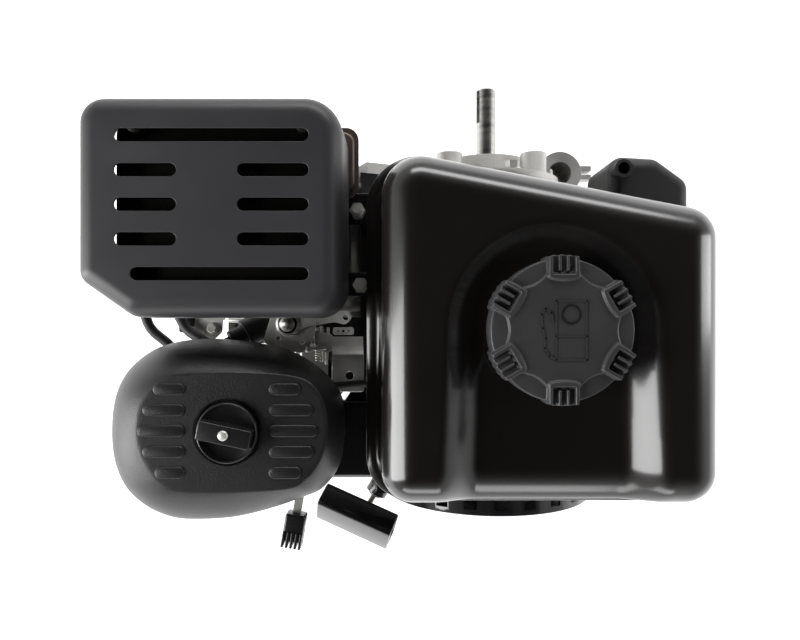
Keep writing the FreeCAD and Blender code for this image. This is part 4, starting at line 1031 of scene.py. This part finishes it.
def make_shroud():
    """The black sheet-metal air shroud that closes the space under the controls."""
    outline = rounded_outline([(-176, -66), (-176, -38), (-72, -38), (-72, -100), (-106, -100), (-106, -72),
                               (-128, -66)], 3)
    flat_plate("air_shroud", outline, 188, 189.5, look="black_paint")


def make_rope_guide():
    """A plated eye where the starter rope leaves the housing."""
    eye = bpy.data.meshes.new("rope_eye")
    bm = bmesh.new()
    major, minor = 4.6, 1.5
    rows = []
    for a in np.linspace(0, 2 * math.pi, 28, endpoint=False):
        row = []
        for b in np.linspace(0, 2 * math.pi, 12, endpoint=False):
            reach = (major + minor * math.cos(b)) * MM
            row.append(bm.verts.new((reach * math.cos(a), reach * math.sin(a), minor * math.sin(b) * MM)))
        rows.append(row)
    for i in range(28):
        for j in range(12):
            bm.faces.new((rows[i][j], rows[(i + 1) % 28][j], rows[(i + 1) % 28][(j + 1) % 12],
                          rows[i][(j + 1) % 12]))
    bm.to_mesh(eye)
    bm.free()
    item = bpy.data.objects.new("rope_eye", eye)
    bpy.context.scene.collection.objects.link(item)
    gate = ROPE_GATE + ROPE_PULL * 16.5
    item.matrix_world = Matrix.Translation(gate * MM) @ ROPE_PULL.to_track_quat("Z", "Y").to_matrix().to_4x4()
    finish_piece(item, "zinc_steel")


# ---------------------------------------------------------------- studio

def make_floor():
    """A wide pale table that glows a little, as a lit product table does."""
    mesh = bpy.data.meshes.new("floor")
    reach = 12.0
    mesh.from_pydata([(-reach, -reach, -0.0005), (reach, -reach, -0.0005), (reach, reach, -0.0005),
                      (-reach, reach, -0.0005)], [], [(0, 1, 2, 3)])
    floor = bpy.data.objects.new("floor", mesh)
    bpy.context.scene.collection.objects.link(floor)
    paper = procedural("floor_paper", (0.9, 0.9, 0.9), rough=0.9, tint=0.01, grain=60, bump=0.01, patch=2,
                       spec=0.1)
    shader = paper.node_tree.nodes["Principled BSDF"]
    shader.inputs["Emission Color"].default_value = (1, 1, 1, 1)
    shader.inputs["Emission Strength"].default_value = 0.75
    mesh.materials.append(paper)


def area_light(name, place, target, size_x, size_y, power):
    data = bpy.data.lights.new(name, "AREA")
    data.shape = "RECTANGLE"
    data.size = size_x
    data.size_y = size_y
    data.energy = power
    item = bpy.data.objects.new(name, data)
    item.location = place
    item.rotation_euler = (Vector(target) - Vector(place)).to_track_quat("-Z", "Y").to_euler()
    bpy.context.scene.collection.objects.link(item)


def make_world():
    """A white cyclorama round the object and a dim ceiling over it."""
    world = bpy.data.worlds.new("studio")
    bpy.context.scene.world = world
    world.use_nodes = True
    tree = world.node_tree
    background = tree.nodes["Background"]
    place = tree.nodes.new("ShaderNodeTexCoord")
    parts = tree.nodes.new("ShaderNodeSeparateXYZ")
    ramp = tree.nodes.new("ShaderNodeValToRGB")
    tree.links.new(place.outputs["Generated"], parts.inputs["Vector"])
    tree.links.new(parts.outputs["Z"], ramp.inputs["Fac"])
    heights = ((0.0, 0.80), (0.35, 0.62), (0.6, 0.16), (0.8, 0.012))
    steps = ramp.color_ramp.elements
    while len(steps) < len(heights):
        steps.new(0.5)
    for step, (height, shade) in zip(steps, heights):
        step.position = height
        step.color = (shade, shade, shade, 1)
    tree.links.new(ramp.outputs["Color"], background.inputs["Color"])
    background.inputs["Strength"].default_value = 1.0


def make_studio():
    make_floor()
    make_world()
    middle = (-0.05, -0.03, 0.15)
    area_light("left_card", (-1.9, -0.5, 0.9), middle, 1.0, 1.8, 50)
    area_light("front_card", (-0.2, -2.0, 0.7), middle, 1.8, 0.5, 10)
    area_light("back_card", (0.2, 2.0, 1.1), middle, 2.2, 0.5, 26)
    area_light("right_card", (2.0, 0.1, 0.7), middle, 0.4, 1.4, 10)


def make_camera():
    """Straight down, a little to the left of and in front of the base's middle."""
    data = bpy.data.cameras.new("camera")
    data.sensor_width = 36
    data.lens = 29.6
    camera = bpy.data.objects.new("camera", data)
    camera.location = (-0.056, -0.050, 0.650)
    bpy.context.scene.collection.objects.link(camera)
    bpy.context.scene.camera = camera


# ---------------------------------------------------------------- build

def soften_the_frame():
    for name in ("crankcase", "crankcase_cover", "cylinder_head", "recoil_housing", "vapor_canister",
                 "carburetor", "valve_cover", "tank_bracket", "flywheel", "blower_housing"):
        soften(name, 0.7)


dress_the_frame()
looks["cap_mark"] = procedural("cap_mark", (0.03, 0.03, 0.031), rough=0.5, grain=1600, bump=0.1)
soften_the_frame()
make_tank()
make_cap()
make_guard()
make_cover()
make_knob()
make_cleaner_base()
make_filter()
make_grip()
make_rope()
make_choke_knob()
make_valve_springs()
make_controls()
make_front_fixings()
make_rope_guide()
make_shroud()
make_studio()
make_camera()
bpy.context.scene.view_settings.view_transform = "Standard"
